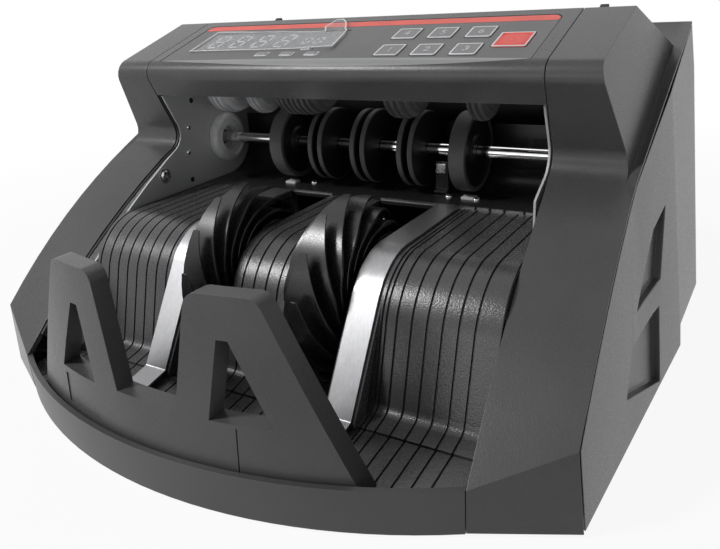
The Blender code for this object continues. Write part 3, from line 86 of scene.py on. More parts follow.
RED_KEY_SIZE = (0.0138, 0.0135)
KEY_LOW, KEY_RISE = -0.0022, 0.0004
KEY_ROWS = {"front": 0.0136, "rear": 0.0305}
KEY_COLUMNS = (0.0300, 0.0467, 0.0634)
KEYS = {f"key_{row}_{i + 1}": (x, v) for row, v in KEY_ROWS.items() for i, x in enumerate(KEY_COLUMNS)}
KEYS["key_red"] = (0.0795, 0.0222)
STRIPE = ((-0.0912, 0.0411), (0.0914, 0.0411), (0.0914, 0.0440), (0.0890, 0.0464), (-0.0890, 0.0464),
          (-0.0912, 0.0445))
LAMPS = ((-0.0344, 0.0114, 0.0058), (-0.0207, 0.0114, 0.0058), (-0.0075, 0.0114, 0.0056),
         (-0.0136, 0.0178, 0.0046))

# Display: a digit's bars, its sizes, and the foil with its creases and tab
SEGMENTS = {"0": "abcdef", "8": "abcdefg"}
LARGE_DIGITS = ("8888", -0.0709, 0.01317, 0.0268, 0.0062, 0.0128, 0.0011)
SMALL_DIGITS = ("00", -0.0187, 0.0064, 0.0262, 0.0033, 0.0066, 0.0007)
DIGIT_LEAN = 0.10
FILM_CORNERS = ((-0.0812, 0.0150), (0.0006, 0.0166), (-0.0020, 0.0348), (-0.0812, 0.0388))
FILM_CREASES = (
    (-0.0790, 0.0330, -0.0480, 0.0372, 0.00035, 0.0011), (-0.0640, 0.0170, -0.0350, 0.0350, 0.00030, 0.0009),
    (-0.0400, 0.0180, -0.0120, 0.0300, 0.00035, 0.0010), (-0.0260, 0.0380, -0.0020, 0.0220, 0.00040, 0.0012),
    (-0.0500, 0.0360, -0.0230, 0.0330, 0.00025, 0.0008), (-0.0120, 0.0370, -0.0050, 0.0190, 0.00040, 0.0010),
)
FILM_TAB = ((-0.0040, 0.0372), (-0.0068, 0.0430), (-0.0100, 0.0462), (-0.0138, 0.0462), (-0.0172, 0.0400))
FILM_TAB_START = 0.84

# Note tray: guides, strips on their ribs, a black sheet of painted shadow in the gap by the left frame plate,
# the floor and the stopper
GUIDE_TOP = (0.0265, 0.0684)
CREST = (-0.0460, 0.0684)
CREST_ROUND, CREST_STEPS = 0.0280, 24
FACE_LOW = (-0.0615, 0.0170)
FACE_FILLET = 0.0050
GUIDE_FOOT = (-0.0715, 0.0150)
GUIDE_WALL = 0.0020
GUIDE_BASE_Z = 0.0042
GUIDES = {
    "guide_left": (-0.0958, -0.0368), "guide_middle": (-0.0136, 0.0136), "guide_right": (0.0434, 0.0958),
}
STRIPS = {"strip_left": -0.0480, "strip_right": 0.0434}
STRIP_WIDTH, STRIP_THICK = 0.0112, 0.0008
STRIP_FOOT = (-0.0860, 0.0144)
RIB_LEAVES = round(CREST_STEPS * 0.75) + 1
RIB_SIDE = 0.0012
RIB_LOW = (-0.0736, 0.0168)
RIB_SOLE = (-0.0660, 0.0147)
WING_REAR_Y = -0.0020
WING_CLEAR = 0.0008
WAIST = (0.0163, 0.0944)
WAIST_ROUND = 0.0082
BAND_LOW = (0.1055, -0.0908)
BAND_FOOT = (-0.0908, 0.0178)
BAND_BULGE = 0.0055
# Painted shadow: where and how deep the black sheet sits in the gap by the left frame plate
SHADOW_SHEET_START = 0.40
SHADOW_SHEET_SET, SHADOW_SHEET_DEPTH, SHADOW_SHEET_WIDTH = 0.0006, 0.0030, 0.0013
SHADOW_SHEET_LOW_Z = 0.0220
TRAY_REAR = (-0.0720, 0.0144)
TRAY_FRONT_Z = 0.0092
TRAY_THICK = 0.0020
TRAY_HALF_X = 0.1049
TRAY_LEGS = (-0.0600, 0.0600)
TRAY_GROOVES = (-0.0302, -0.0235, -0.0170, 0.0168, 0.0235, 0.0302, 0.0369)
SKIRT_FRONT_Y, SKIRT_SIDE_Y = -0.1198, -0.0908
SKIRT_HALF_X = 0.1055
SKIRT_WALL = 0.0022
STOP_INSET = 0.0026
STOP_LOW_Z, STOP_TOP_Z = 0.0104, 0.0800
STOP_LEAN = 0.0060
STOP_DENTS = ((-0.0520, -0.0290, 0.0195, 0.0318, 0.0004), (0.0354, 0.0359, 0.0150, 0.0330, 0.0005))

# Rotors
MAIN_AXIS = (0.0485, 0.0890)
SHAFT_RADIUS = 0.0030
BORE = SHAFT_RADIUS + GAP
SHAFTS = {"main_shaft": "main_rotor", "feed_shaft": "feed_rotor", "stacking_shaft": "stacking_rotor"}
WIDE_WHEELS = {"wide_wheel_left": -0.0477, "wide_wheel_right": 0.0508}
WIDE_WHEEL_WIDTH, WIDE_WHEEL_RADIUS = 0.0076, 0.0182
DISC_WHEELS = {"disc_wheel_left": -0.0242, "disc_wheel_middle": -0.0001, "disc_wheel_right": 0.0250}
DISC_RADIUS, DISC_THICK, DISC_PAIR = 0.0174, 0.0028, 0.0084
HUB_RADIUS = 0.0070
ROLLER_CROWN = ((0.0, 0.94), (0.12, 1.0), (0.60, 1.0), (0.85, 0.93), (1.0, 0.78))
ROLLER_PITCH = 0.0030
ROLLER_RIB = ((0.0, 0.0013), (0.10, 0.0006), (0.22, 0.0), (0.60, 0.0), (0.74, 0.0006), (0.84, 0.0013))
BUSH_BORE = 0.0066
BUSH_SHARES = ((0, 0.98), (0.12, 1.0), (0.45, 0.995), (0.68, 0.97), (0.84, 0.93), (0.94, 0.88), (0.99, 0.82),
               (1.0, 0.77), (0.96, 0.75), (0.80, 0.735), (0.80, 0.70), (0.84, 0.68))
STACK_AXIS = (-0.0270, 0.0455)
STACK_RADIUS, STACK_HUB = 0.0410, 0.0110
VANES, VANE_STEPS = 14, 22
VANE_SWEEP = math.radians(150)
VANE_ROOT, VANE_TIP, VANE_POINT = 0.0024, 0.0006, 0.0015
VANE_NARROW_SHARE = 0.66
STACK_SIDE_GAP = 0.0030
STACKING_WHEELS = {
    "stacking_wheel_left": (-0.0368, -0.0136, math.radians(5)),
    "stacking_wheel_right": (0.0136, 0.0434, math.radians(9)),
}

# Fittings on the left and right frame plates and on the deck, whose rail runs between notches
PLATE_FACE_X = 0.0962
PLATE_SCREWS = ((0.0211, 0.0992), (0.0184, 0.0865))
PLATE_HOLES = ((0.0260, 0.1123), (0.0184, 0.0720))
CROSS_SCREW = (-0.0005, 0.0786)
DECK_TOP = 0.0684
DECK_SCREWS = ((-0.0350, 0.0442), (0.0421, 0.0421), (0.0562, 0.0414))
DECK_TABS = ((-0.0470, 0.0414), (0.0521, 0.0423))
RAIL_Y = 0.0280
RAIL_STARTS = (-0.0368, 0.0136, 0.0618, 0.0684, 0.0750, 0.0838)
RAIL_ENDS = (-0.0136, 0.0608, 0.0674, 0.0740, 0.0828, 0.0950)

# Camera, lamps and the rays that see the white background
CAMERA_PLACE = (0.17587758, -0.25553259, 0.16283603)
CAMERA_AXES = ((0.85992, 0.50663, -0.06219), (-0.14086, 0.35265, 0.92509), (0.49062, -0.78674, 0.37462))
CAMERA_LENS = 35.81
AREA_LAMPS = {
    "key_light": ((-0.80, -0.80, 1.10), (0.0, 0.0, 0.07), 0.3, 0.3, 15.0),
    "rim_light": ((-0.10, 0.70, 1.20), (0.0, 0.0, 0.07), 0.9, 0.3, 1.0),
    "low_light": ((1.10, -0.45, 0.10), (0.14, -0.02, 0.0), 0.5, 0.2, 0.6),
    "fill_light": ((-0.35, -1.20, 0.16), (0.05, -0.05, 0.04), 0.6, 0.2, 1.0),
}
WHITE_RAYS = ("Is Camera Ray", "Is Glossy Ray", "Is Transmission Ray")
WHITE = (1.0, 1.0, 1.0, 1.0)
FLOOR_HALF = 3.0


# ---------------------------------------------------------------- shader maths


class Value:
    """A shader socket. Python's operators on it add Math nodes."""

    def __init__(self, nodes, socket):
        self.nodes = nodes
        self.socket = socket

    def maths(self, operation, *values):
        return self.nodes.node("ShaderNodeMath", {"operation": operation}, *values)

    def __add__(self, other):
        return self.maths("ADD", self, other)

    def __radd__(self, other):
        return self.maths("ADD", other, self)

    def __sub__(self, other):
        return self.maths("SUBTRACT", self, other)

    def __rsub__(self, other):
        return self.maths("SUBTRACT", other, self)

    def __mul__(self, other):
        return self.maths("MULTIPLY", self, other)

    def __rmul__(self, other):
        return self.maths("MULTIPLY", other, self)

    def __gt__(self, other):
        return self.maths("GREATER_THAN", self, other)

    def power(self, exponent):
        return self.maths("POWER", self, exponent)

    def size(self):
        return self.maths("ABSOLUTE", self)

    def wave(self, length):
        """A sine of this value, from 0 to 1, with this length."""
        return self.maths("SINE", self * (math.tau / length)) * 0.5 + 0.5

    def ramp(self, low, high, start=0.0, stop=1.0):
        """From start to stop as this value goes from low to high, with smooth ends."""
        smooth = {"interpolation_type": "SMOOTHSTEP"}
        return self.nodes.node("ShaderNodeMapRange", smooth, self, low, high, start, stop)


class Nodes:
    """A node tree and one way to add a node to it."""

    def __init__(self, owner):
        owner.use_nodes = True
        self.tree = owner.node_tree

    def node(self, kind, settings=None, *values, output=0, **named):
        """A node with its settings, its first sockets' values and its named sockets' values."""
        node = self.tree.nodes.new(kind)
        for setting, value in (settings or {}).items():
            setattr(node, setting, value)
        for socket, value in zip(node.inputs, values):
            self.feed(socket, value)
        self.fill(node, named)
        return Value(self, node.outputs[output])

    def feed(self, socket, value):
        if isinstance(value, Value):
            self.tree.links.new(value.socket, socket)
        elif value is not None:
            socket.default_value = value

    def fill(self, node, named):
        for socket, value in named.items():
            self.feed(node.inputs[socket.replace("_", " ")], value)

    def show(self, output, surface):
        """Feeds the tree's output node."""
        self.feed(self.tree.nodes[output].inputs["Surface"], surface)

    def white_share(self):
        """1 for the rays that see the white background and 0 for those that light the object."""
        return sum(self.node("ShaderNodeLightPath", output=ray) for ray in WHITE_RAYS)


class Finish(Nodes):
    """A node material and the nodes that feed its shader."""

    def __init__(self, name, **uniform):
        self.material = bpy.data.materials.new(name)
        super().__init__(self.material)
        self.shader = self.tree.nodes["Principled BSDF"]
        self.fill(self.shader, uniform)

    def place(self):
        return self.node("ShaderNodeTexCoord", output="Object")

    def parts(self):
        """The x, y and z of a point of the object, in metres."""
        split = self.node("ShaderNodeSeparateXYZ", None, self.place()).socket.node
        return [Value(self, socket) for socket in split.outputs]

    def noise(self, scale, detail=2.0, roughness=0.5, stretch=None):
        place = self.place()
        if stretch:
            place = self.node("ShaderNodeMapping", Vector=place, Scale=stretch)
        return self.node("ShaderNodeTexNoise", Vector=place, Scale=scale, Detail=detail, Roughness=roughness)

    def blend(self, first, second, share):
        """A colour between two, by a share."""
        skipped = [None] * 5
        return self.node("ShaderNodeMix", {"data_type": "RGBA"}, share, *skipped, first, second, output=2)

    def mottle(self, colour, low, high, share):
        """A colour between a darker and a lighter shade of itself."""
        return self.blend(shade(colour, low), shade(colour, high), share)

    def done(self, height, distance, **fed):
        """Feeds what changes over the surface, with a bump of this height, and gives the material."""
        fed["Normal"] = self.node("ShaderNodeBump", Strength=1.0, Distance=distance, Height=height)
        self.fill(self.shader, fed)
        return self.material


def shade(colour, factor=1.0):
    return tuple(min(1.0, part * factor) for part in colour[:3]) + (1.0,)


def moulded(name, colour, roughness, grain, sheen=0.42, cloud=0.10):
    """Moulded plastic: a fine eroded grain, faint clouding and small bright specks in the gloss."""
    finish = Finish(name, Specular_IOR_Level=sheen)
    fine = finish.noise(1500.0, 2.0, 0.6)
    coarse = finish.noise(420.0)
    clouds = finish.noise(24.0, 3.0)
    tone = finish.mottle(colour, 1 - cloud, 1 + cloud, clouds.ramp(0.3, 0.7))
    # Painted glints: where the fine grain peaks, the colour is made lighter. This stands in for bright sparkles
    # of light in the highlights.
    tone = finish.blend(tone, shade(colour, 1.35), (fine > 0.66) * 0.35)
    rough = (fine - 0.5) * 0.22 + (clouds - 0.5) * 0.06 + roughness
    return finish.done(fine * 0.8 + coarse * 0.2, grain, Base_Color=tone, Roughness=rough)


def satin_metal(name, colour, roughness, stretch, scratch=0.00001):
    """Drawn or brushed metal, with fine lines along one axis."""
    finish = Finish(name, Metallic=1.0)
    lines = finish.noise(900.0, 3.0, 0.6, stretch)
    tone = finish.mottle(colour, 0.86, 1.1, lines.ramp(0.3, 0.7))
    rough = (lines - 0.5) * 0.12 + (finish.noise(60.0) - 0.5) * 0.08 + roughness
    return finish.done(lines, scratch, Base_Color=tone, Roughness=rough)


def rubber(name, colour, roughness):
    """Matt rubber with a little dust."""
    finish = Finish(name, Specular_IOR_Level=0.3)
    fine = finish.noise(700.0, 3.0, 0.6)
    tone = finish.mottle(colour, 0.88, 1.2, finish.noise(90.0, 4.0).ramp(0.35, 0.75))
    return finish.done(fine, 0.00004, Base_Color=tone, Roughness=(fine - 0.5) * 0.2 + roughness)


def gloss_black(name, colour, roughness):
    """Glossy plastic with smears and specks of dust."""
    finish = Finish(name, Specular_IOR_Level=0.5)
    smear = finish.noise(45.0, 3.0)
    tone = finish.mottle(colour, 1.0, 2.2, (finish.noise(1300.0, 1.0) > 0.72) * 0.6)
    return finish.done(smear, 0.00008, Base_Color=tone, Roughness=(smear - 0.5) * 0.25 + roughness)


def translucent(name, colour, roughness):
    """Pale moulded nylon."""
    finish = Finish(name, Specular_IOR_Level=0.5, Subsurface_Weight=0.25, Subsurface_Scale=0.002,
                    Subsurface_Radius=(1.0, 1.0, 1.0))
    clouds = finish.noise(120.0)
    tone = finish.mottle(colour, 0.88, 1.08, clouds.ramp(0.3, 0.7))
    rough = (clouds - 0.5) * 0.15 + roughness
    return finish.done(finish.noise(900.0), 0.00001, Base_Color=tone, Roughness=rough)


def printed(name, colour, roughness):
    """A printed film or paint, with a faint unevenness."""
    finish = Finish(name, Specular_IOR_Level=0.4)
    fine = finish.noise(1500.0)
    tone = finish.mottle(colour, 0.93, 1.07, finish.noise(70.0, 3.0).ramp(0.3, 0.7))
    return finish.done(fine, 0.000006, Base_Color=tone, Roughness=(fine - 0.5) * 0.15 + roughness)


def smoked_pane(name, colour):
    """The dark window over the digits."""
    finish = Finish(name, Specular_IOR_Level=0.3, Coat_Roughness=0.2)
    clouds = finish.noise(55.0, 3.0)
    return finish.done(clouds, 0.00003, Base_Color=finish.mottle(colour, 0.9, 1.15, clouds.ramp(0.3, 0.7)),
                       Roughness=(clouds - 0.5) * 0.1 + 0.25, Coat_Weight=clouds.ramp(0.2, 0.8, 0.05, 0.15))


def clear_foil(name, colour, low, high):
    """A thin clear foil that shows most where it is creased and along its edges."""
    finish = Finish(name, Specular_IOR_Level=0.25, Roughness=0.25)
    creases = finish.noise(90.0, 3.0, 0.5, (0.5, 1.0, 1.0))
    clouds = finish.noise(40.0)
    ridge = 1 - (creases - 0.5).size() * 22
    share = ridge.ramp(0.4, 1.0) * 0.15 + clouds.ramp(0.3, 0.75) * 0.6
    return finish.done(creases, 0.00003, Base_Color=finish.mottle(colour, 0.9, 1.1, clouds),
                       Alpha=share * (high - low) + low)


def circuit(name, colour):
    """A lacquered board with fine copper tracks."""
    finish = Finish(name, Specular_IOR_Level=0.5)
    x, y = finish.parts()[:2]
    tracks = ((x.wave(0.0031) > 0.8) + (y.wave(0.0027) > 0.86)) * (finish.noise(90.0, 1.0) > 0.52)
    return finish.done(tracks, 0.00005, Base_Color=finish.mottle(colour, 1.0, 2.0, tracks * 0.6),
                       Roughness=finish.noise(300.0) * 0.2 + 0.35)


# Each finish: its maker, its colour or the name and factor of a user's colour, and the maker's other values
RECIPES = {
    "charcoal": (moulded, ("housing", 1.0), 0.30, 0.00007, 0.30),
    "guide_plastic": (moulded, ("guides", 1.0), 0.27, 0.00012, 0.5),
    "skirt_plastic": (moulded, ("skirt", 1.0), 0.40, 0.00002),
    # Painted highlight on the panel's front chamfer.
    "panel_trim": (moulded, ("trim", 1.0), 0.35, 0.000012, 0.42, 0.04),
    "label": (printed, ("label", 1.0), 0.42),
    "coral": (printed, ("stripe", 1.0), 0.45),
    "red_cap": (moulded, ("red_key", 1.0), 0.45, 0.00001, 0.42, 0.03),
    "key_cap": (moulded, ("keys", 1.0), 0.42, 0.00001, 0.42, 0.04),
    "key_rim": (printed, ("key_rims", 1.0), 0.35),
    "ink": (printed, ("ink", 1.0), 0.5),
    "red_ink": (printed, ("red_key", 1.35), 0.5),
    "pane": (smoked_pane, ("window", 1.0)),
    "foil": (clear_foil, (0.75, 0.76, 0.77), 0.10, 0.32),
    "foil_edge": (clear_foil, (0.95, 0.95, 0.96), 0.7, 0.95),
    "digit": (printed, ("digits", 1.0), 0.4),
    "lamp": (translucent, ("lamps", 1.0), 0.35),
    "board": (circuit, (0.02, 0.10, 0.05)),
    "plate": (moulded, ("plates", 1.0), 0.38, 0.00001, 0.42, 0.05),
    "chrome": (satin_metal, (0.78, 0.78, 0.79), 0.10, (0.1, 1.0, 1.0), 0.000003),
    "strip_steel": (satin_metal, ("strips", 1.0), 0.36, (8.0, 0.4, 0.4), 0.000004),
    "zinc": (satin_metal, (0.62, 0.62, 0.63), 0.25, (1.0, 1.0, 1.0)),
    "tyre": (rubber, ("tyres", 1.0), 0.62),
    "foot_rubber": (rubber, (0.03, 0.03, 0.03), 0.7),
    "belt": (rubber, (0.018, 0.018, 0.018), 0.7),
    "hub_black": (moulded, (0.008, 0.008, 0.008), 0.50, 0.00001, 0.25, 0.05),
    "vane_black": (moulded, ("vanes", 1.0), 0.30, 0.000008, 0.5, 0.05),
    "deck_black": (gloss_black, (0.018, 0.018, 0.019), 0.26),
    # Painted shade: near-black for the shade in the plate's holes and in the gap by the left frame plate.
    "hole_black": (moulded, (0.004, 0.004, 0.004), 0.6, 0.00001),
    "nylon": (translucent, ("bushes", 1.0), 0.38),
    "roller": (translucent, ("rollers", 1.0), 0.45),
    "roller_dark": (translucent, ("rollers", 0.22), 0.45),
    "lens": (translucent, (0.75, 0.77, 0.80), 0.08),
}
FINISHES = {}


def finish_of(name):
    """The named material, made the first time that it is asked for."""
    if name not in FINISHES:
        maker, tint, *rest = RECIPES[name]
        if isinstance(tint[0], str):
            tint = shade(getattr(bpy.context.scene.counter_colours, tint[0]), tint[1])
        FINISHES[name] = maker(name, tint, *rest)
    return FINISHES[name]


# ---------------------------------------------------------------- lines and outlines


def towards(start, stop, share):
    return tuple(a + (b - a) * share for a, b in zip(start, stop))


def rounded(before, corner, after, radius, steps=8):
    """Points along a corner of an outline made round."""
    corner = Vector(corner)
    first = (Vector(before) - corner).normalized()
    second = (Vector(after) - corner).normalized()
    half = first.angle(second) / 2
    reach = radius / math.tan(half)
    centre = corner + (first + second).normalized() * (radius / math.sin(half))
    start = corner + first * reach - centre
    stop = corner + second * reach - centre
    angle = math.atan2(start.y, start.x)
    turn = (math.atan2(stop.y, stop.x) - angle + math.pi) % math.tau - math.pi
    spots = [angle + turn * step / steps for step in range(steps + 1)]
    return [(centre.x + radius * math.cos(a), centre.y + radius * math.sin(a)) for a in spots]


def eased(outline, radius, steps=3):
    """A closed outline with its corners made round."""
    points = []
    for i, corner in enumerate(outline):
        before, after = outline[i - 1], outline[(i + 1) % len(outline)]
        a, b = Vector(before) - Vector(corner), Vector(after) - Vector(corner)
        half = a.angle(b) / 2
        least = min(radius, 0.45 * min(a.length, b.length) * math.tan(half))
        straight = half > math.radians(86)
        points += [tuple(corner)] if straight else rounded(before, corner, after, least, steps)
    return points


def beside(points, distance, closed=False):
    """A line beside another, to the right of its way for a positive distance."""
    line = [Vector(p) for p in points]
    count = len(line)
    result = []
    for i, here in enumerate(line):
        last = line[i - 1] if i or closed else here
        after = line[(i + 1) % count] if i < count - 1 or closed else here
        sides = [Vector((d.y, -d.x)).normalized() for d in (here - last, after - here) if d.length > 0]
        side = sum(sides, Vector((0, 0))).normalized()
        result.append(tuple(here + side * (distance / max(0.5, side.dot(sides[-1])))))
    return result


def circle(radius, sides=32, centre=(0.0, 0.0)):
    spots = [math.tau * i / sides for i in range(sides)]
    return [(centre[0] + radius * math.cos(a), centre[1] + radius * math.sin(a)) for a in spots]


def oblong(width, depth, centre=(0.0, 0.0)):
    x, y = centre
    w, d = width / 2, depth / 2
    return [(x - w, y - d), (x + w, y - d), (x + w, y + d), (x - w, y + d)]


def both_ends(low, high, spots):
    """A profile along X: spots of an inset and a radius from the low end, then the same from the high end."""
    ends = [(low + inset, radius) for inset, radius in spots]
    return ends + [(high - inset, radius) for inset, radius in reversed(spots)]


def skirt_y(x, inset):
    """The front skirt's curve in plan view, at a distance inside it."""
    rise = SKIRT_SIDE_Y - SKIRT_FRONT_Y
    radius = (SKIRT_HALF_X ** 2 + rise ** 2) / (2 * rise)
    return SKIRT_FRONT_Y + radius - math.sqrt((radius - inset) ** 2 - x ** 2)


# ---------------------------------------------------------------- meshes


def reworked(mesh, change):
    """The mesh after a change that is made while it is open for editing, with all faces outwards."""
    work = bmesh.new()
    work.from_mesh(mesh)
    change(work)
    bmesh.ops.recalc_face_normals(work, faces=work.faces)
    work.to_mesh(mesh)
    work.free()
    return mesh


def tidy(mesh, weld=2e-6):
    """Welds what meets."""
    return reworked(mesh, lambda work: bmesh.ops.remove_doubles(work, verts=work.verts, dist=weld))


def raw_mesh(points, faces):
    mesh = bpy.data.meshes.new("piece")
    mesh.from_pydata([tuple(p) for p in points], [], faces)
    return mesh


def mesh_from(points, faces):
    return tidy(raw_mesh(points, faces))


def plain_copy(name):
    """A packed part's mesh, welded, with its flat faces whole again."""
    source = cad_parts[name].data

    def flatten(work):
        bmesh.ops.remove_doubles(work, verts=work.verts, dist=2e-6)
        bmesh.ops.dissolve_limit(work, angle_limit=math.radians(0.6), verts=work.verts, edges=work.edges)

    return reworked(raw_mesh([v.co for v in source.vertices], [tuple(p.vertices) for p in source.polygons]),
                    flatten)


def soften(mesh, width, angle=28.0, segments=2):
    """Rounds the mesh's edges that are sharper than an angle."""

    def bevel(work):
        least = math.radians(angle)
        edges = [e for e in work.edges if e.is_manifold and e.calc_face_angle(0.0) > least]
        bmesh.ops.bevel(work, geom=edges, offset=width, offset_type="OFFSET", segments=segments, profile=0.5,
                        affect="EDGES", clamp_overlap=True)

    return reworked(mesh, bevel)


def shell(outer, inner):
    """A closed mesh between two grids of points with the same rows and columns."""
    rows, columns = len(outer), len(outer[0])
    count = rows * columns
    points = [p for grid in (outer, inner) for row in grid for p in row]
    faces = []
    for i in range(rows - 1):
        for j in range(columns - 1):
            a, b = i * columns + j, i * columns + j + 1
            c, d = b + columns, a + columns
            faces += [(a, b, c, d), (count + d, count + c, count + b, count + a)]
    rim = [(0, j) for j in range(columns)] + [(i, columns - 1) for i in range(1, rows)]
    rim += [(rows - 1, j) for j in range(columns - 2, -1, -1)] + [(i, 0) for i in range(rows - 2, -1, -1)]
    for (i, j), (k, m) in zip(rim, rim[1:]):
        a, b = i * columns + j, k * columns + m
        faces.append((a, count + a, count + b, b))
    return mesh_from(points, faces)


def stacked(loops):
    """A closed solid through loops of points that have the same count."""
    count = len(loops[0])
    points = [p for loop in loops for p in loop]
    faces = [tuple(range(count)), tuple(range(len(points) - count, len(points)))]
    for low in range(0, len(points) - count, count):
        for i in range(count):
            j = (i + 1) % count
            faces.append((low + i, low + j, low + count + j, low + count + i))
    return mesh_from(points, faces)


def pad(outline, levels):
    """An outline raised through levels, each an inset from the outline and a height."""
    return stacked([[(x, y, z) for x, y in beside(outline, -inset, True)] for inset, z in levels])


def prism(outline, low, high, axis=0, ease=0.0):
    """An outline of two axes drawn along the third, with eased ends."""
    levels = [(low, 0.0), (high, 0.0)]
    if ease:
        levels = [(low, ease), (low + ease * 0.3, ease * 0.3), (low + ease, 0.0),
                  (high - ease, 0.0), (high - ease * 0.3, ease * 0.3), (high, ease)]
    loops = []
    for along, inset in levels:
        loop = beside(outline, -inset, True) if inset else outline
        loops.append([spot[:axis] + (along,) + spot[axis:] for spot in loop])
    return stacked(loops)


def lathe(profile, place=(0.0, 0.0), sides=96):
    """A profile of (x, radius) turned about a line along X through place, closed unless it ends on the line."""
    rings, points, faces = [], [], []
    for x, radius in profile:
        if radius <= 0:
            rings.append([len(points)] * sides)
            points.append((x, *place))
        else:
            rings.append(list(range(len(points), len(points) + sides)))
            points += [(x, y, z) for y, z in circle(radius, sides, place)]
    pairs = list(zip(rings, rings[1:]))
    if profile[0][1] > 0 and profile[-1][1] > 0:
        pairs.append((rings[-1], rings[0]))
    for a, b in pairs:
        for i in range(sides):
            j = (i + 1) % sides
            face = tuple(dict.fromkeys((a[i], a[j], b[j], b[i])))
            if len(face) > 2:
                faces.append(face)
    return mesh_from(points, faces)


def merged(meshes):
    """One mesh of several."""
    points, faces = [], []
    for mesh in meshes:
        start = len(points)
        points += [v.co for v in mesh.vertices]
        faces += [tuple(start + i for i in p.vertices) for p in mesh.polygons]
    return raw_mesh(points, faces)


def evaluated(thing):
    """The mesh of an object with its modifiers or its text worked out. The object goes."""
    bpy.context.view_layer.update()
    mesh = bpy.data.meshes.new_from_object(thing.evaluated_get(bpy.context.evaluated_depsgraph_get()))
    bpy.data.objects.remove(thing)
    return mesh


def placed(name, data):
    """An object of this data in the scene."""
    thing = bpy.data.objects.new(name, data)
    bpy.context.scene.collection.objects.link(thing)
    return thing


def cut(mesh, *tools):
    """The mesh less each tool's mesh."""
    for tool in tools:
        target, cutter = placed("target", mesh), placed("cutter", tool)
        change = target.modifiers.new("cut", "BOOLEAN")
        change.operation = "DIFFERENCE"
        change.solver = "EXACT"
        change.object = cutter
        mesh = evaluated(target)
        bpy.data.objects.remove(cutter)
    return tidy(mesh)


def moved(mesh, matrix):
    mesh.transform(matrix)
    return mesh


def facing(place, normal, turn=0.0):
    """A matrix that sets a mesh made upwards at the origin onto a place, along a normal."""
    lean = Vector((0, 0, 1)).rotation_difference(Vector(normal)).to_matrix().to_4x4()
    return Matrix.Translation(place) @ lean @ Matrix.Rotation(turn, 4, "Z")


def put(name, mesh, finishes, body="housing", slot="charcoal_plastic", stands_for=None, sharp=32.0):
    """Makes the piece, gives it its finishes and sets it on its body."""
    mesh.name = name
    piece = placed(name, mesh)
    for finish in finishes.split():
        mesh.materials.append(finish_of(finish))
    mesh.polygons.foreach_set("use_smooth", [True] * len(mesh.polygons))
    mesh.set_sharp_from_angle(angle=math.radians(sharp))
    piece.modifiers.new("even_shading", "WEIGHTED_NORMAL").keep_sharp = True
    if stands_for:
        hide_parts(stands_for)
    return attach(piece, body)


def lay(name, mesh, *rest, **more):
    """Makes a piece that is drawn in the panel's own plane."""
    return put(name, moved(mesh, PANEL), *rest, **more)


def sizes():
    return bpy.context.scene.counter_sizes


def dress(node, finish, body="housing", slot="charcoal_plastic", width=None):
    """A packed part's own shape with rounded edges and a finish."""
    mesh = soften(plain_copy(node), sizes().cover_edge if width is None else width)
    return put(node + "_dressed", mesh, finish, body, slot, node)


def round_part(name):
    """The ends in x, the axis and the radius of a packed part that lies along X."""
    low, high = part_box(name)
    return low.x, high.x, ((low.y + high.y) / 2, (low.z + high.z) / 2), (high.z - low.z) / 2


# ---------------------------------------------------------------- add-on's properties and operators


def colour(label, text, *default):
    return FloatVectorProperty(name=label, description=text, subtype="COLOR", size=4, min=0.0, max=1.0,
                               default=(*default, 1.0))


def length(label, text, default):
    return FloatProperty(name=label, description=text, default=default, min=0.0, unit="LENGTH", precision=5)


class CounterColours(bpy.types.PropertyGroup):
    """Colours of the counter's plastics, prints and metals."""

    housing: colour("Housing", "Moulded plastic of the covers", 0.074, 0.074, 0.076)
    guides: colour("Guides", "Plastic of the note tray", 0.060, 0.060, 0.062)
    skirt: colour("Skirt", "Plastic of the front skirt", 0.058, 0.058, 0.060)
    # Painted highlight: this light grey stands in for the broad highlight on the panel's front chamfer.
    trim: colour("Panel band", "Light band in front of the label", 0.30, 0.30, 0.305)
    label: colour("Label", "Printed panel label", 0.105, 0.105, 0.108)
    stripe: colour("Stripe", "Stripe along the label", 0.88, 0.12, 0.09)
    keys: colour("Keys", "Grey key caps", 0.20, 0.20, 0.205)
    red_key: colour("Red key", "Red key cap", 0.86, 0.10, 0.08)
    key_rims: colour("Key rims", "Light rims of keys and lamps", 0.85, 0.85, 0.86)
    ink: colour("Figures", "Figures on the keys", 0.60, 0.60, 0.61)
    window: colour("Window", "Display window", 0.15, 0.15, 0.16)
    digits: colour("Digits", "Digits of the display", 0.92, 0.92, 0.93)
    lamps: colour("Lamps", "Lamp bars", 0.20, 0.20, 0.205)
    plates: colour("Frame plates", "Side plates of the note path", 0.62, 0.62, 0.625)
    strips: colour("Strips", "Steel strips over the guides", 0.36, 0.36, 0.37)
    tyres: colour("Tyres", "Rubber of the counting wheels", 0.10, 0.10, 0.102)
    vanes: colour("Vanes", "Stacking wheels", 0.014, 0.014, 0.015)
    bushes: colour("Bushes", "Bushes round the main shaft", 0.92, 0.92, 0.93)
    rollers: colour("Rollers", "Ribbed feed rollers", 0.62, 0.62, 0.63)


class CounterSizes(bpy.types.PropertyGroup):
    """Small sizes that a user may want to change."""

    cover_edge: length("Cover edge", "Radius on the edges of the covers", 0.0005)
    stopper_edge: length("Stopper edge", "Radius on the edges of the stopper", 0.0010)
    groove_pitch: length("Groove pitch", "Distance between the grooves of the tray", 0.0060)
    groove_width: length("Groove width", "Width of a groove", 0.0009)
    groove_depth: length("Groove depth", "Depth of a groove", 0.0009)
    world_light: FloatProperty(name="Room light", description="Strength of the light all round",
                               default=0.12, min=0.0)


OPERATORS = []


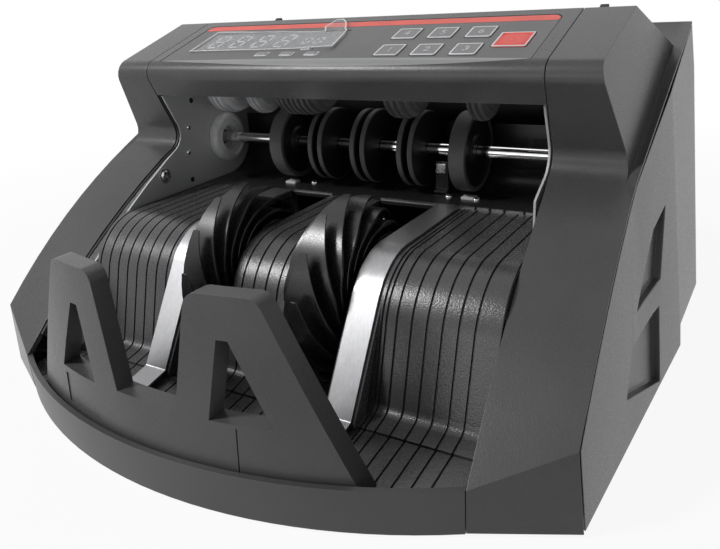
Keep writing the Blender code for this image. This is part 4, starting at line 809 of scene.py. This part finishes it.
def step(label):
    """Makes an operator of the function below it, with that function's docstring, and lists it."""

    def make(work):
        def execute(self, context):
            work()
            return {"FINISHED"}

        OPERATORS.append(type("COUNTER_OT_" + work.__name__, (bpy.types.Operator,), {
            "bl_idname": "counter." + work.__name__, "bl_label": label, "__doc__": work.__doc__,
            "execute": execute}))
        return work

    return make


# ---------------------------------------------------------------- covers


@step("Cheeks")
def add_cheeks():
    """Adds the covers at both ends of the panel and tray."""
    for side in SIDES:
        dress("cheek_" + side, "charcoal")


@step("Side covers")
def add_side_covers():
    """Adds the outer side covers with their grips."""
    for side in SIDES:
        dress("side_cover_" + side, "charcoal")


@step("Base")
def add_base():
    """Adds the base with its skirt, and the feet."""
    dress("base_tray", "skirt_plastic")
    for name in [f"foot_{row}_{side}" for row in ("front", "rear") for side in SIDES]:
        low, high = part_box(name)
        outline = circle((high.x - low.x) / 2, 40, ((low.x + high.x) / 2, (low.y + high.y) / 2))
        foot = pad(outline, [(0.0003, 0.0), (0.0, 0.0003), (0.0, high.z - 0.0002), (0.0002, high.z)])
        put(name + "_rubber", foot, "foot_rubber", slot="grey_rubber", stands_for=name)


def label_outline(inset):
    half, front, rear = RECESS_HALF_X - inset, RECESS_FRONT_V + inset, RECESS_REAR_V - inset
    corner = rounded((half, front), (half, rear), (-half, rear), RECESS_ROUND)
    return [(-half, front), (half, front)] + corner + [(-x, v) for x, v in reversed(corner)]


def window_outline(inset):
    width, depth, centre = WINDOW
    return oblong(width - 2 * inset, depth - 2 * inset, centre)


def key_outline(name, clear):
    width, depth = RED_KEY_SIZE if name == "key_red" else KEY_SIZE
    return eased(oblong(width + 2 * clear, depth + 2 * clear, KEYS[name]), 0.0008)


def panel_band():
    """The light band along the panel's rounded front, which thins out to a point at both ends."""
    turn = math.pi - (Vector(TOP_REAR) - Vector(NOSE)).angle(Vector(LIP) - Vector(NOSE))
    start = PANEL_ROUND * math.tan(turn / 2) - math.dist(TOP_FRONT, NOSE)

    def spot(x, along, out):
        angle = max(0.0, start - along) / PANEL_ROUND
        radius = PANEL_ROUND + out
        return (x, max(along, start) - radius * math.sin(angle), radius * math.cos(angle) - PANEL_ROUND)

    grids = ([], [])
    for i in range(81):
        x = BAND_END_X * (i / 40 - 1)
        share = 1 - abs(x / BAND_END_X) ** BAND_SWELLS[x > 0]
        rear, front = BAND_END + BAND_REAR * share, BAND_END - BAND_FRONT * share - 0.00004
        for grid, out in zip(grids, (0.00007, -0.0002)):
            grid.append([spot(x, rear + (front - rear) * j / 8, out) for j in range(9)])
    return shell(*grids)


@step("Panel cover")
def add_panel_cover():
    """Adds the cover that carries the panel, and its light band."""
    line, ease = [TOP_REAR] + rounded(TOP_REAR, NOSE, LIP, PANEL_ROUND, 14) + [LIP], 0.0002
    ends = [(-SEAM_X, ease), (ease - SEAM_X, 0.0), (SEAM_X - ease, 0.0), (SEAM_X, ease)]
    outer = [[(x, y, z) for y, z in beside(line, -depth)] for x, depth in ends]
    inner = [[(x, y, z) for y, z in beside(line, -PANEL_WALL)] for x, depth in ends]
    tools = [pad(label_outline(0), [(0, -RECESS_DEPTH), (0, 0.004)])]
    for outline in [window_outline(WINDOW_LEDGE)] + [key_outline(name, GAP) for name in KEYS]:
        tools.append(pad(outline, [(0, -0.006), (0, 0.004)]))
    cover = cut(shell(outer, inner), *[moved(tool, PANEL) for tool in tools])
    put("panel_cover_dressed", cover, "charcoal", stands_for="panel_cover", sharp=40.0)
    lay("panel_band", panel_band(), "panel_trim", slot="key_grey", sharp=50.0)


# ---------------------------------------------------------------- panel


@step("Label")
def add_label():
    """Adds the label, its stripe and its lamps."""
    sheet = pad(label_outline(GAP), [(0, GAP - RECESS_DEPTH), (0, LABEL_TOP - 0.0001), (0.0001, LABEL_TOP)])
    holes = [window_outline(0)] + [key_outline(name, GAP) for name in KEYS]
    lay("panel_label_sheet", cut(sheet, *[pad(hole, [(0, -0.003), (0, 0.003)]) for hole in holes]), "label",
        slot="panel_label", stands_for="panel_label")
    stripe = pad(eased(STRIPE, 0.0012), [(0, LABEL_TOP - 0.0002), (0, LABEL_TOP + 0.00006)])
    lay("label_stripe", stripe, "coral", slot="red_key")
    for number, (x, v, width) in enumerate(LAMPS, 1):
        bar = pad(eased(oblong(width, 0.0030, (x, v)), 0.0004),
                  [(0, LABEL_TOP - 0.0003), (0, LABEL_TOP + 0.0001), (0.0002, LABEL_TOP + 0.0003)])
        rim = pad(eased(oblong(width + 0.0010, 0.0040, (x, v)), 0.0006),
                  [(0, LABEL_TOP - 0.0002), (0, LABEL_TOP + 0.00008)])
        lay(f"lamp_bar_{number}", bar, "lamp", slot="pale_plastic")
        lay(f"lamp_rim_{number}", rim, "key_rim", slot="pale_plastic")


def number_mesh(text, height, thick):
    """Numerals lying flat, centred on the origin."""
    curve = bpy.data.curves.new("number", "FONT")
    curve.body = text
    curve.align_x = curve.align_y = "CENTER"
    curve.size = height
    curve.extrude = thick / 2
    curve.resolution_u = 4
    return tidy(evaluated(placed("number", curve)), 1e-7)


@step("Keys")
def add_keys():
    """Adds the key caps and their figures."""
    for figure, name in zip("1234560", KEYS):
        red = name == "key_red"
        slot, cap_finish, ink = ("red_key", "red_cap", "red_ink") if red else ("key_grey", "key_cap", "ink")
        outline = key_outline(name, 0)
        cap = pad(outline, [(0, KEY_LOW), (0, KEY_RISE - 0.0003), (0.0001, KEY_RISE - 0.00008),
                            (0.0005, KEY_RISE), (0.0007, KEY_RISE - 0.0001)])
        rims = [int(f.normal.z > 0.3 and f.center.z > KEY_RISE - 0.00026 and len(f.vertices) == 4)
                for f in cap.polygons]
        cap.polygons.foreach_set("material_index", rims)
        lay(name + "_cap", cap, cap_finish + " key_rim", name, slot, name)
        mark = moved(number_mesh(figure, 0.0058, 0.0001), Matrix.Translation((*KEYS[name], KEY_RISE - 0.00008)))
        lay(name + "_figure", mark, ink, name, slot)
        for number, inset in enumerate((0.0013, 0.0021) if red else (), 1):
            low, high = KEY_RISE - 0.0002, KEY_RISE - 0.00004
            hoop = pad(beside(outline, -inset, True), [(0, low), (0, high), (0.0002, high), (0.0002, low)])
            lay(f"key_red_hoop_{number}", hoop, ink, name, slot)


def segment_bars(text, x, pitch, v, width, height, thick):
    """The lit bars of a row of digits, each a six-sided outline."""
    w, h, t = width / 2, height / 2, thick / 2
    ends = {"a": ((-w, h), (w, h)), "b": ((w, h), (w, 0)), "c": ((w, 0), (w, -h)), "d": ((-w, -h), (w, -h)),
            "e": ((-w, 0), (-w, -h)), "f": ((-w, h), (-w, 0)), "g": ((-w, 0), (w, 0))}
    bars = []
    for number, key in [(i, key) for i, digit in enumerate(text) for key in SEGMENTS[digit]]:
        a, b = (Vector(p) for p in ends[key])
        along = (b - a).normalized()
        side = Vector((along.y, -along.x))
        a, b = a + along * t * 1.25, b - along * t * 1.25
        shape = [a, a + (along + side) * t, b + (side - along) * t, b, b - (along + side) * t,
                 a + (along - side) * t]
        bars.append([(x + pitch * number + p.x + p.y * DIGIT_LEAN, v + p.y) for p in shape])
    return bars


@step("Display")
def add_display():
    """Adds the window, its digits and the foil over it."""
    pane = pad(window_outline(GAP),
               [(0, GAP - RECESS_DEPTH), (0, LABEL_TOP - 0.0003), (0.0001, LABEL_TOP - 0.0002)])
    lay("display_pane", pane, "pane", slot="smoked_window", stands_for="display_window")
    bars = segment_bars(*LARGE_DIGITS) + segment_bars(*SMALL_DIGITS)
    top = LABEL_TOP - 0.0002
    digits = merged([pad(bar, [(0, top - 0.0001), (0, top + 0.00008)]) for bar in bars])
    lay("display_digits", digits, "digit", slot="smoked_window")
    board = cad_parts["display_board"]
    board.data.materials.clear()
    board.data.materials.append(finish_of("board"))
    add_foil()


def foil_spot(x, v, rise=0.0):
    """A point of the foil. It lies on the window with a few long creases, and its end and tab lift off."""
    for x0, v0, x1, v1, height, width in FILM_CREASES:
        along, across = Vector((x1 - x0, v1 - v0)), Vector((x - x0, v - v0))
        reach = max(0.0, min(1.0, across.dot(along) / along.length_squared))
        rise += height * max(0.0, 1 - (across - along * reach).length / width) * (1 - abs(2 * reach - 1) ** 3)
    lift = max(0.0, (x + 0.022) / 0.022) * 0.0007
    tab = max(0.0, (v - 0.0375) / 0.009) * 0.0012
    return x, v, LABEL_TOP + 0.00032 + rise + 0.00004 * math.sin(x * 260 + v * 170) + lift + tab


def add_foil():
    a, b, c, d = FILM_CORNERS
    tab_start, tab_line = towards(d, c, FILM_TAB_START), FILM_TAB[::-1]
    columns, rows = 72, 20
    grid = []
    for i in range(columns + 1):
        front, rear = towards(a, b, i / columns), towards(d, c, i / columns)
        grid.append([towards(front, rear, j / rows) for j in range(rows + 1)])
    tab = []
    for i in range(9):
        share = i / 8 * (len(tab_line) - 1)
        k = min(int(share), len(tab_line) - 2)
        start, stop = towards(tab_start, c, i / 8), towards(tab_line[k], tab_line[k + 1], share - k)
        tab.append([towards(start, stop, j / 5) for j in range(6)])
    sheets = []
    for cells in (grid, tab):
        low = [[foil_spot(x, v) for x, v in row] for row in cells]
        sheets.append(shell([[(x, v, z + 0.00006) for x, v, z in row] for row in low], low))
    lay("display_foil", merged(sheets), "foil", slot="clear_film", stands_for="display_film")
    loop = [a, b, c, *FILM_TAB, tab_start, d]
    inner = beside(loop, -0.0007, True)
    points, faces, fine = [], [], 12
    for i in range(len(loop)):
        for j in range(fine):
            out, into = (towards(line[i], line[(i + 1) % len(loop)], j / fine) for line in (loop, inner))
            for spot, rise in ((out, 0.00007), (into, 0.00007), (into, 0.00012), (out, 0.00012)):
                points.append(foil_spot(*spot, rise))
    for i in range(0, len(points), 4):
        j = (i + 4) % len(points)
        faces += [(i + k, i + (k + 1) % 4, j + (k + 1) % 4, j + k) for k in range(4)]
    lay("display_foil_edge", mesh_from(points, faces), "foil_edge", slot="clear_film")


# ---------------------------------------------------------------- note tray


def crest_line():
    return rounded(GUIDE_TOP, CREST, FACE_LOW, CREST_ROUND, CREST_STEPS)


def strip_line():
    """The strips leave the guides' face and run straight down to the tray over a rib."""
    kept = crest_line()[:RIB_LEAVES]
    return [GUIDE_TOP] + kept + rounded(kept[-1], RIB_LOW, STRIP_FOOT, 0.0022, 6) + [STRIP_FOOT]


def wing_reach(y):
    """How far the right guide widens towards the cheek's band."""
    if y > WING_REAR_Y:
        return 0.0
    share = (WAIST[0] - y) / (WAIST[0] - BAND_LOW[1])
    return SEAM_X + GAP + (BAND_LOW[0] - SEAM_X) * share - WING_CLEAR - GUIDES["guide_right"][1]


def grooved(x0, x1, grooves):
    """Stations across a guide: each an x and how deep the surface lies there."""
    width, depth = sizes().groove_width, sizes().groove_depth
    ends = both_ends(x0, x1, [(0.0, 0.0005), (0.00015, 0.00015), (0.0005, 0.0)])
    stations = [(x + width * share, deep) for x in grooves
                for share, deep in ((-0.5, 0.0), (-0.32, depth), (0.32, depth), (0.5, 0.0))]
    return ends[:3] + stations + ends[3:]


def groove_places(x0, x1):
    pitch = sizes().groove_pitch
    if x0 > 0:
        edge = x0 + STRIP_WIDTH + RIB_SIDE
        start = edge + 0.0030 + pitch * 0.7
        rest = [start + pitch * i for i in range(20)]
        return [edge + 0.0012, edge + 0.0030] + [x for x in rest if x < x1 - 0.002]
    if x1 < 0:
        last = x1 - STRIP_WIDTH - RIB_SIDE - 0.0022
        return sorted(last - pitch * i for i in range(20) if last - pitch * i > x0 + 0.002)
    return [pitch * (i - 1.5) for i in range(4)]


@step("Guides")
def add_guides():
    """Adds the grooved paper guides, and the ribs that carry the strips."""
    crest = crest_line()
    line = [GUIDE_TOP] + crest + rounded(crest[-1], FACE_LOW, GUIDE_FOOT, FACE_FILLET, 6) + [GUIDE_FOOT]
    share = (GUIDE_TOP[0] - WING_REAR_Y) / (line[0][0] - line[1][0])
    line[1:1] = [towards(line[0], line[1], share), towards(line[0], line[1], share + 0.004)]
    full = [(GUIDE_TOP[0], GUIDE_BASE_Z)] + line + [(GUIDE_FOOT[0], GUIDE_BASE_Z)]
    inner = beside(full, -GUIDE_WALL)
    wings = [0.0] + [wing_reach(y) for y, z in line] + [0.0]
    for name, (x0, x1) in GUIDES.items():
        grids = ([], [])
        for x, depth in grooved(x0, x1, groove_places(x0, x1)):
            wide = name == "guide_right" and x > x1 - 0.0012
            for grid, edge in zip(grids, (beside(full, -depth), inner)):
                grid.append([(x + wing * wide, y, z) for wing, (y, z) in zip(wings, edge)])
        put(name + "_ribbed", shell(*grids), "guide_plastic", stands_for=name, sharp=40.0)
    leaves = strip_line()[RIB_LEAVES]
    rib = [leaves, RIB_LOW, (RIB_LOW[0], RIB_SOLE[1]), RIB_SOLE, towards(RIB_SOLE, leaves, 0.5)]
    for name, x0 in STRIPS.items():
        block = prism(rib, x0 - RIB_SIDE, x0 + STRIP_WIDTH + RIB_SIDE, 0, 0.0003)
        put(name + "_rib", block, "guide_plastic", sharp=40.0)


@step("Strips")
def add_strips():
    """Adds the steel strips beside the slots."""
    line = strip_line()
    edges = (beside(line, GAP + STRIP_THICK), beside(line, GAP))
    last, half = len(line) - 1, STRIP_WIDTH / 2
    stops = [(i, 0.0, 1.0) for i in range(last)] + [(last - 1, 0.84, 1.0), (last - 1, 1.0, 0.74)]
    for name, x0 in STRIPS.items():
        grids = ([], [])
        for i, part, share in stops:
            for grid, edge in zip(grids, edges):
                spot = towards(edge[i], edge[i + 1], part)
                across = (-1, -0.985, -0.5, 0, 0.5, 0.985, 1)
                grid.append([(x0 + half + half * share * c, *spot) for c in across])
        put(name + "_steel", soften(shell(*grids), 0.00012, 50.0, 1), "strip_steel", slot="bright_steel",
            stands_for=name)


@step("Tray floor")
def add_tray():
    """Adds the grooved floor of the tray."""
    places = [x for x0, x1 in GUIDES.values() for x in groove_places(x0, x1)]
    places = [x for x in places if abs(x) < TRAY_HALF_X - 0.001]
    for x in TRAY_GROOVES:
        if min(abs(x - g) for g in places) > 0.002:
            places.append(x)
    rear, height = TRAY_REAR
    drop = (height - TRAY_FRONT_Z) / (rear - SKIRT_FRONT_Y)
    grids = ([], [])
    for x, depth in grooved(-TRAY_HALF_X, TRAY_HALF_X, sorted(places)):
        edge = skirt_y(x, SKIRT_WALL + GAP)
        spots = [rear + (edge - rear) * (j / 6) for j in range(7)]
        for grid, less in zip(grids, (depth, TRAY_THICK)):
            grid.append([(x, y, height - drop * (rear - y) - less) for y in spots])
    legs = [prism(oblong(0.004, 0.004, (x, -0.078)), 0.0042, 0.0124, 2) for x in TRAY_LEGS]
    put("tray_floor_ribbed", merged([shell(*grids)] + legs), "guide_plastic", stands_for="tray_floor",
        sharp=40.0)


def stopper_dent(x0, x1, z0, z1, depth):
    """A tool that takes a shallow field out of the stopper's curved, leaning front."""
    leans = [(z, (z - STOP_LOW_Z) / (STOP_TOP_Z - STOP_LOW_Z) * STOP_LEAN) for z in (z0, z1)]
    grids = ([], [])
    for x in [x0 + (x1 - x0) * i / 8 for i in range(9)]:
        for grid, shift in zip(grids, (-0.002, depth)):
            grid.append([(x, skirt_y(x, STOP_INSET) + lean + shift, z) for z, lean in leans])
    return shell(*grids)


@step("Stopper")
def add_stopper():
    """Adds the note stopper."""
    body = soften(plain_copy("stopper"), sizes().stopper_edge, 30.0, 4)
    put("stopper_dressed", cut(body, *[stopper_dent(*dent) for dent in STOP_DENTS]), "charcoal",
        stands_for="stopper")


# ---------------------------------------------------------------- rotors


def vane_spot(tip, share):
    angle = tip + VANE_SWEEP * (1 - share)
    radius = STACK_HUB + (STACK_RADIUS - STACK_HUB) * share
    return Vector((radius * math.cos(angle), radius * math.sin(angle)))


def stacking_mesh(x0, x1, phase):
    """A wheel of curved vanes that narrow to points. They're drawn in turn, with the hub between them."""
    centre, half = (x0 + x1) / 2, (x1 - x0) / 2 - STACK_SIDE_GAP
    outline = []
    for tip in [math.tau * vane / VANES + phase for vane in reversed(range(VANES))]:
        outside, inside = [], []
        for share in [step / VANE_STEPS for step in range(VANE_STEPS + 1)]:
            along = (vane_spot(tip, share + 0.01) - vane_spot(tip, share - 0.01)).normalized()
            side = Vector((-along.y, along.x)) * (VANE_ROOT + (VANE_TIP - VANE_ROOT) * share) / 2
            narrow = max(0.0, (share - VANE_NARROW_SHARE) / (1 - VANE_NARROW_SHARE))
            width = half + (VANE_POINT - half) * narrow ** 1.15
            outside.append((vane_spot(tip, share) + side, width))
            inside.append((vane_spot(tip, share) - side, width))
        angle = tip + VANE_SWEEP - math.pi / VANES
        valley = STACK_HUB - VANE_ROOT / 2
        outline += outside + inside[::-1]
        outline.append((Vector((valley * math.cos(angle), valley * math.sin(angle))), half))
    y0, z0 = STACK_AXIS
    loops = [[(centre + sign * width, y0 + spot.x, z0 + spot.y) for spot, width in outline] for sign in (-1, 1)]
    return cut(stacked(loops), lathe(both_ends(x0, x1, [(0, 0), (0, BORE)]), STACK_AXIS, 32))


@step("Stacking wheels")
def add_stacking_wheels():
    """Adds the wheels with curved vanes."""
    for name, spec in STACKING_WHEELS.items():
        put(name + "_vanes", soften(stacking_mesh(*spec), 0.00014, 60.0, 1), "vane_black", "stacking_rotor",
            "black_plastic", name, 35.0)


def wheel(name, low, high, spots, ease, finish="hub_black", slot="black_plastic", stands_for=None):
    """A turned piece on the main shaft, from the spots of one end's profile."""
    mesh = lathe(eased(both_ends(low, high, spots), ease), MAIN_AXIS)
    put(name, mesh, finish, "main_rotor", slot, stands_for)


@step("Counting wheels")
def add_counting_wheels():
    """Adds the wheels on the main shaft."""
    half, core = WIDE_WHEEL_WIDTH / 2, WIDE_WHEEL_RADIUS - 0.0022
    hub = [(0.0003, BORE), (0.0003, HUB_RADIUS), (0.0014, HUB_RADIUS + 0.001), (0.0014, core - 0.0022),
           (0.0003, core - 0.0012), (0.0003, core)]
    for name, x in WIDE_WHEELS.items():
        wheel(name + "_tyre", x - half, x + half, [(0, core), (0, WIDE_WHEEL_RADIUS)], 0.0005, "tyre",
              "grey_rubber", name)
        wheel(name + "_hub", x - half, x + half, hub, 0.0003)
    half, thick = DISC_PAIR / 2, DISC_THICK
    pair = [(0, BORE), (0, DISC_RADIUS), (thick, DISC_RADIUS), (thick, HUB_RADIUS)]
    ring = [(0.0002, DISC_RADIUS - 0.0006), (0.0002, DISC_RADIUS + 0.0004)]
    for name, x in DISC_WHEELS.items():
        wheel(name + "_discs", x - half, x + half, pair, 0.0003, stands_for=name)
        for tag, low in (("a", x - half), ("b", x + half - thick)):
            wheel(f"{name}_rim_{tag}", low, low + thick, ring, 0.0002, "tyre", "grey_rubber")


def crown(share):
    """The radius of a feed roller at a share of its width, as a share of its largest radius."""
    for (a, first), (b, second) in zip(ROLLER_CROWN, ROLLER_CROWN[1:]):
        if share <= b:
            return first + (second - first) * (share - a) / (b - a)
    return ROLLER_CROWN[-1][1]


@step("Feed rollers")
def add_feed_rollers():
    """Adds the ribbed rollers."""
    for number in range(1, 6):
        name = f"feed_roller_{number}"
        low, high, axis, radius = round_part(name)
        ribs = max(3, round((high - low) / ROLLER_PITCH))
        pitch = (high - low) / ribs
        profile = [(low, BORE)]
        for x, deep in [(low + pitch * rib + pitch * along, deep) for rib in range(ribs)
                        for along, deep in ROLLER_RIB]:
            profile.append((x, radius * crown((x - low) / (high - low)) - deep))
        profile += [(high, radius * crown(1.0) - 0.0008), (high, BORE)]
        put(name + "_ribbed", lathe(profile, axis), "roller" if number < 3 else "roller_dark", "feed_rotor",
            "pale_plastic", name)


@step("Shafts")
def add_shafts():
    """Adds the three shafts."""
    for name, body in SHAFTS.items():
        low, high, axis, radius = round_part(name)
        bar = lathe(both_ends(low, high, [(0, 0), (0, radius - 0.0004), (0.0004, radius)]), axis, 64)
        put(name + "_bar", bar, "chrome", body, "bright_steel", name)


@step("Bushes")
def add_bushes():
    """Adds the bushes round the main shaft."""
    for side in SIDES:
        name = "bush_" + side
        low, high, axis, radius = round_part(name)
        back, face = (low, high) if side == "left" else (high, low)
        bore = BUSH_BORE / radius
        shares = [(0, bore), *BUSH_SHARES, (0.84, bore + 0.03), (0.78, bore)]
        dome = lathe([(back + (face - back) * along, radius * out) for along, out in shares], MAIN_AXIS)
        put(name + "_dome", dome, "nylon", slot="pale_plastic", stands_for=name, sharp=50.0)


# ---------------------------------------------------------------- note path and fittings


def screw_head(radius, height):
    """A pan head with a cross recess, made upwards at the origin."""
    head = pad(circle(radius, 28), [(0, 0), (0, height * 0.45), (radius * 0.08, height * 0.72),
                                    (radius * 0.24, height * 0.92), (radius * 0.5, height)])
    bars = []
    for turn in (0.0, math.pi / 2):
        bar = pad(oblong(radius * 1.2, radius * 0.24), [(radius * 0.05, height * 0.4), (0, height * 2)])
        bars.append(moved(bar, Matrix.Rotation(turn, 4, "Z")))
    return cut(head, *bars)


@step("Frame plates")
def add_frame_plates():
    """Adds the plates with their screws."""
    small = screw_head(0.0013, 0.0009)
    for side, sign in zip(SIDES, (-1, 1)):
        dress("frame_plate_" + side, "plate", slot="grey_plate", width=0.0002)

        def fix(name, mesh, spot, finish, slot, turn=0.0):
            put(name, moved(mesh, facing((sign * PLATE_FACE_X, *spot), (-sign, 0, 0), turn)), finish, slot=slot)

        for number, spot in enumerate(PLATE_SCREWS, 1):
            fix(f"plate_screw_{side}_{number}", small.copy(), spot, "zinc", "zinc_steel", 0.4)
        if side == "left":
            fix("plate_cross_screw_left", screw_head(0.0028, 0.0013), CROSS_SCREW, "zinc", "zinc_steel", 0.5)
            washer = pad(circle(0.0037), [(0, 0), (0, 0.0003), (0.0002, 0.0004)])
            fix("plate_washer_left", washer, CROSS_SCREW, "zinc", "grey_plate")
            # Painted shade: black discs on the plate where its holes show only shade.
            for number, spot in enumerate(PLATE_HOLES, 1):
                plug = pad(circle(0.0014, 24), [(0, -0.0002), (0, 0.0001), (0.0002, 0.00012)])
                fix(f"plate_hole_left_{number}", plug, spot, "hole_black", "black_plastic")


@step("Gap lining")
def add_gap_lining():
    """Adds the black lining in the gap between the left frame plate and the cheek's inner edge."""
    side = Vector((BAND_FOOT[1] - WAIST[1], WAIST[0] - BAND_FOOT[0])).normalized() * BAND_BULGE * 4
    band = []
    for share in [i / 12 for i in range(13)]:
        y, z = towards(WAIST, BAND_FOOT, share)
        band.append((y + side.x * share * (1 - share), z + side.y * share * (1 - share)))
    notch = rounded(NOSE, band[0], band[1], WAIST_ROUND)
    line = [towards(NOSE, WAIST, SHADOW_SHEET_START)] + notch + band[2:]
    grids = ([], [])
    for (y, z), deep in zip(beside(line, -SHADOW_SHEET_SET), beside(line, -SHADOW_SHEET_SET - SHADOW_SHEET_DEPTH)):
        if z < SHADOW_SHEET_LOW_Z:
            continue
        reach = SEAM_X + (BAND_LOW[0] - SEAM_X) * max(0.0, WAIST[0] - y) / (WAIST[0] - BAND_LOW[1])
        for grid, inset in zip(grids, (0.0001, SHADOW_SHEET_WIDTH)):
            grid.append([(inset - reach, y, z), (inset - reach, *deep)])
    put("gap_lining_left", shell(*grids), "hole_black", slot="black_plastic")


@step("Deck")
def add_deck():
    """Adds the deck with its bracket, rail, tabs and screws."""
    dress("deck_plate", "deck_black", slot="black_plastic", width=0.0002)
    dress("sensor_bracket", "deck_black", slot="bright_steel", width=0.00015)
    low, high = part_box("sensor_bracket")
    block = eased(oblong(0.0022, 0.0048, (high.y - 0.0016, high.z - 0.0030)), 0.0005)
    put("sensor_head", prism(block, low.x + 0.0008, high.x - 0.0008, 0, 0.0003), "zinc", slot="bright_steel")
    for number, (x0, x1) in enumerate(zip(RAIL_STARTS, RAIL_ENDS), 1):
        rail = prism(oblong(0.0011, 0.0008, (RAIL_Y, DECK_TOP + 0.0004)), x0, x1, 0, 0.0002)
        put(f"deck_rail_{number}", rail, "strip_steel", slot="bright_steel")
    small = screw_head(0.0020, 0.0010)
    for number, spot in enumerate(DECK_SCREWS):
        screw = moved(small.copy(), facing((*spot, DECK_TOP), (0, 0, 1), 0.3 * number))
        put(f"deck_screw_{number + 1}", screw, "zinc", slot="zinc_steel")
    for number, spot in enumerate(DECK_TABS, 1):
        tab = pad(eased(oblong(0.0065, 0.0050, spot), 0.0006),
                  [(0, DECK_TOP - 0.0003), (0, DECK_TOP + 0.0008), (0.0003, DECK_TOP + 0.0011)])
        put(f"deck_tab_{number}", tab, "plate", slot="grey_plate")


@step("Sensors")
def add_sensors():
    """Adds the sensor box on the middle guide's front face, and its lens."""
    box = pad(eased(oblong(0.0145, 0.0070, (0.0052, 0.0415)), 0.0008), [(0, 0), (0, 0.0022), (0.0004, 0.0026)])
    lens = pad(circle(0.0013, 24), [(0, 0), (0, 0.0006), (0.0004, 0.0011), (0.0009, 0.0013)])
    front = Matrix(((1, 0, 0, 0), (0, 0, -1, -0.0540), (0, 1, 0, 0), (0, 0, 0, 1)))
    put("sensor_box", moved(box, front), "hub_black", slot="black_plastic")
    put("sensor_lens", moved(lens, front @ Matrix.Translation((0.0039, 0.0380, 0.0026))), "lens",
        slot="pale_plastic")


@step("Hopper")
def add_hopper():
    """Adds the hopper with its fins and knob."""
    dress("hopper_plate", "charcoal", width=0.0005)
    for side in SIDES:
        dress("hopper_fin_" + side, "hub_black", "fin_" + side, "black_plastic", 0.0004)
    dress("gap_knob", "hub_black", "knob", "black_plastic", 0.0003)


@step("Rear cover")
def add_rear():
    """Adds the rear cover."""
    dress("rear_cover", "charcoal", width=0.0004)


@step("Power parts")
def add_power():
    """Adds the inlet and the switch."""
    dress("power_inlet", "hub_black", slot="black_plastic", width=0.0003)
    dress("power_switch", "hub_black", "rocker", "black_plastic", 0.0004)


@step("Drive")
def add_drive():
    """Adds the motor, pulleys and belt."""
    dress("motor", "zinc", slot="zinc_steel", width=0.0002)
    dress("motor_pulley", "hub_black", "motor_rotor", "black_plastic", 0.0001)
    dress("main_pulley", "hub_black", "main_rotor", "black_plastic", 0.0001)
    dress("drive_belt", "belt", slot="belt_rubber", width=0.0001)


# ---------------------------------------------------------------- stage


def white_floor():
    """A pale floor that shows as white, but for the object's shadow near it."""
    corners = [(x * FLOOR_HALF, y * FLOOR_HALF, 0) for x, y in ((-1, -1), (1, -1), (1, 1), (-1, 1))]
    floor = mesh_from(corners, [(0, 1, 2, 3)])
    surface = Finish("floor", Roughness=0.9, Specular_IOR_Level=0.0, Base_Color=(0.80, 0.80, 0.80, 1.0))
    x, y = surface.parts()[:2]
    far = (x * x + y * y).power(0.5).ramp(0.25, 0.7, 0.92, 1.0)
    surface.show("Material Output", surface.node(
        "ShaderNodeMixShader", None, surface.white_share() * far,
        Value(surface, surface.shader.outputs[0]), surface.node("ShaderNodeEmission", None, WHITE, 1.0)))
    floor.materials.append(surface.material)
    return placed("floor", floor)


def light_studio():
    """A soft even room that shows as white, and the lamps."""
    scene = bpy.context.scene
    scene.world = bpy.data.worlds.new("studio")
    studio = Nodes(scene.world)
    room = studio.tree.nodes["Background"]
    studio.fill(room, {"Color": (0.95, 0.97, 1.0, 1.0), "Strength": sizes().world_light})
    studio.show("World Output", studio.node(
        "ShaderNodeMixShader", None, studio.white_share(),
        Value(studio, room.outputs[0]), studio.node("ShaderNodeBackground", None, WHITE)))
    for name, (place, target, width, height, power) in AREA_LAMPS.items():
        light = bpy.data.lights.new(name, "AREA")
        light.shape = "RECTANGLE"
        light.size, light.size_y, light.energy = width, height, power
        lamp = placed(name, light)
        lamp.location = place
        lamp.rotation_euler = (Vector(target) - Vector(place)).to_track_quat("-Z", "Y").to_euler()


@step("Stage")
def set_stage():
    """Adds the floor, lights and camera."""
    scene = bpy.context.scene
    scene.view_settings.view_transform = "Standard"
    white_floor()
    light_studio()
    scene.camera = placed("camera", bpy.data.cameras.new("camera"))
    lens = scene.camera.data
    lens.sensor_fit, lens.sensor_width, lens.lens, lens.clip_start = "HORIZONTAL", 36.0, CAMERA_LENS, 0.01
    axes = Matrix(CAMERA_AXES).transposed().to_4x4()
    scene.camera.matrix_world = Matrix.Translation(CAMERA_PLACE) @ axes


# ---------------------------------------------------------------- panel, registration and the run


class COUNTER_PT_panel(bpy.types.Panel):
    """Lists the steps of the counter in the sidebar."""

    bl_idname = "COUNTER_PT_panel"
    bl_label = "Banknote Counter"
    bl_space_type = "VIEW_3D"
    bl_region_type = "UI"
    bl_category = "Counter"

    def draw(self, context):
        for operator in OPERATORS:
            self.layout.operator(operator.bl_idname)


CLASSES = [CounterColours, CounterSizes] + OPERATORS + [COUNTER_PT_panel]


def register():
    for kind in CLASSES:
        bpy.utils.register_class(kind)
    bpy.types.Scene.counter_colours = PointerProperty(type=CounterColours)
    bpy.types.Scene.counter_sizes = PointerProperty(type=CounterSizes)


def unregister():
    del bpy.types.Scene.counter_sizes
    del bpy.types.Scene.counter_colours
    for kind in reversed(CLASSES):
        bpy.utils.unregister_class(kind)


def main():
    register()
    for operator in OPERATORS:
        group, name = operator.bl_idname.split(".")
        getattr(getattr(bpy.ops, group), name)()


if __name__ == "__main__":
    main()
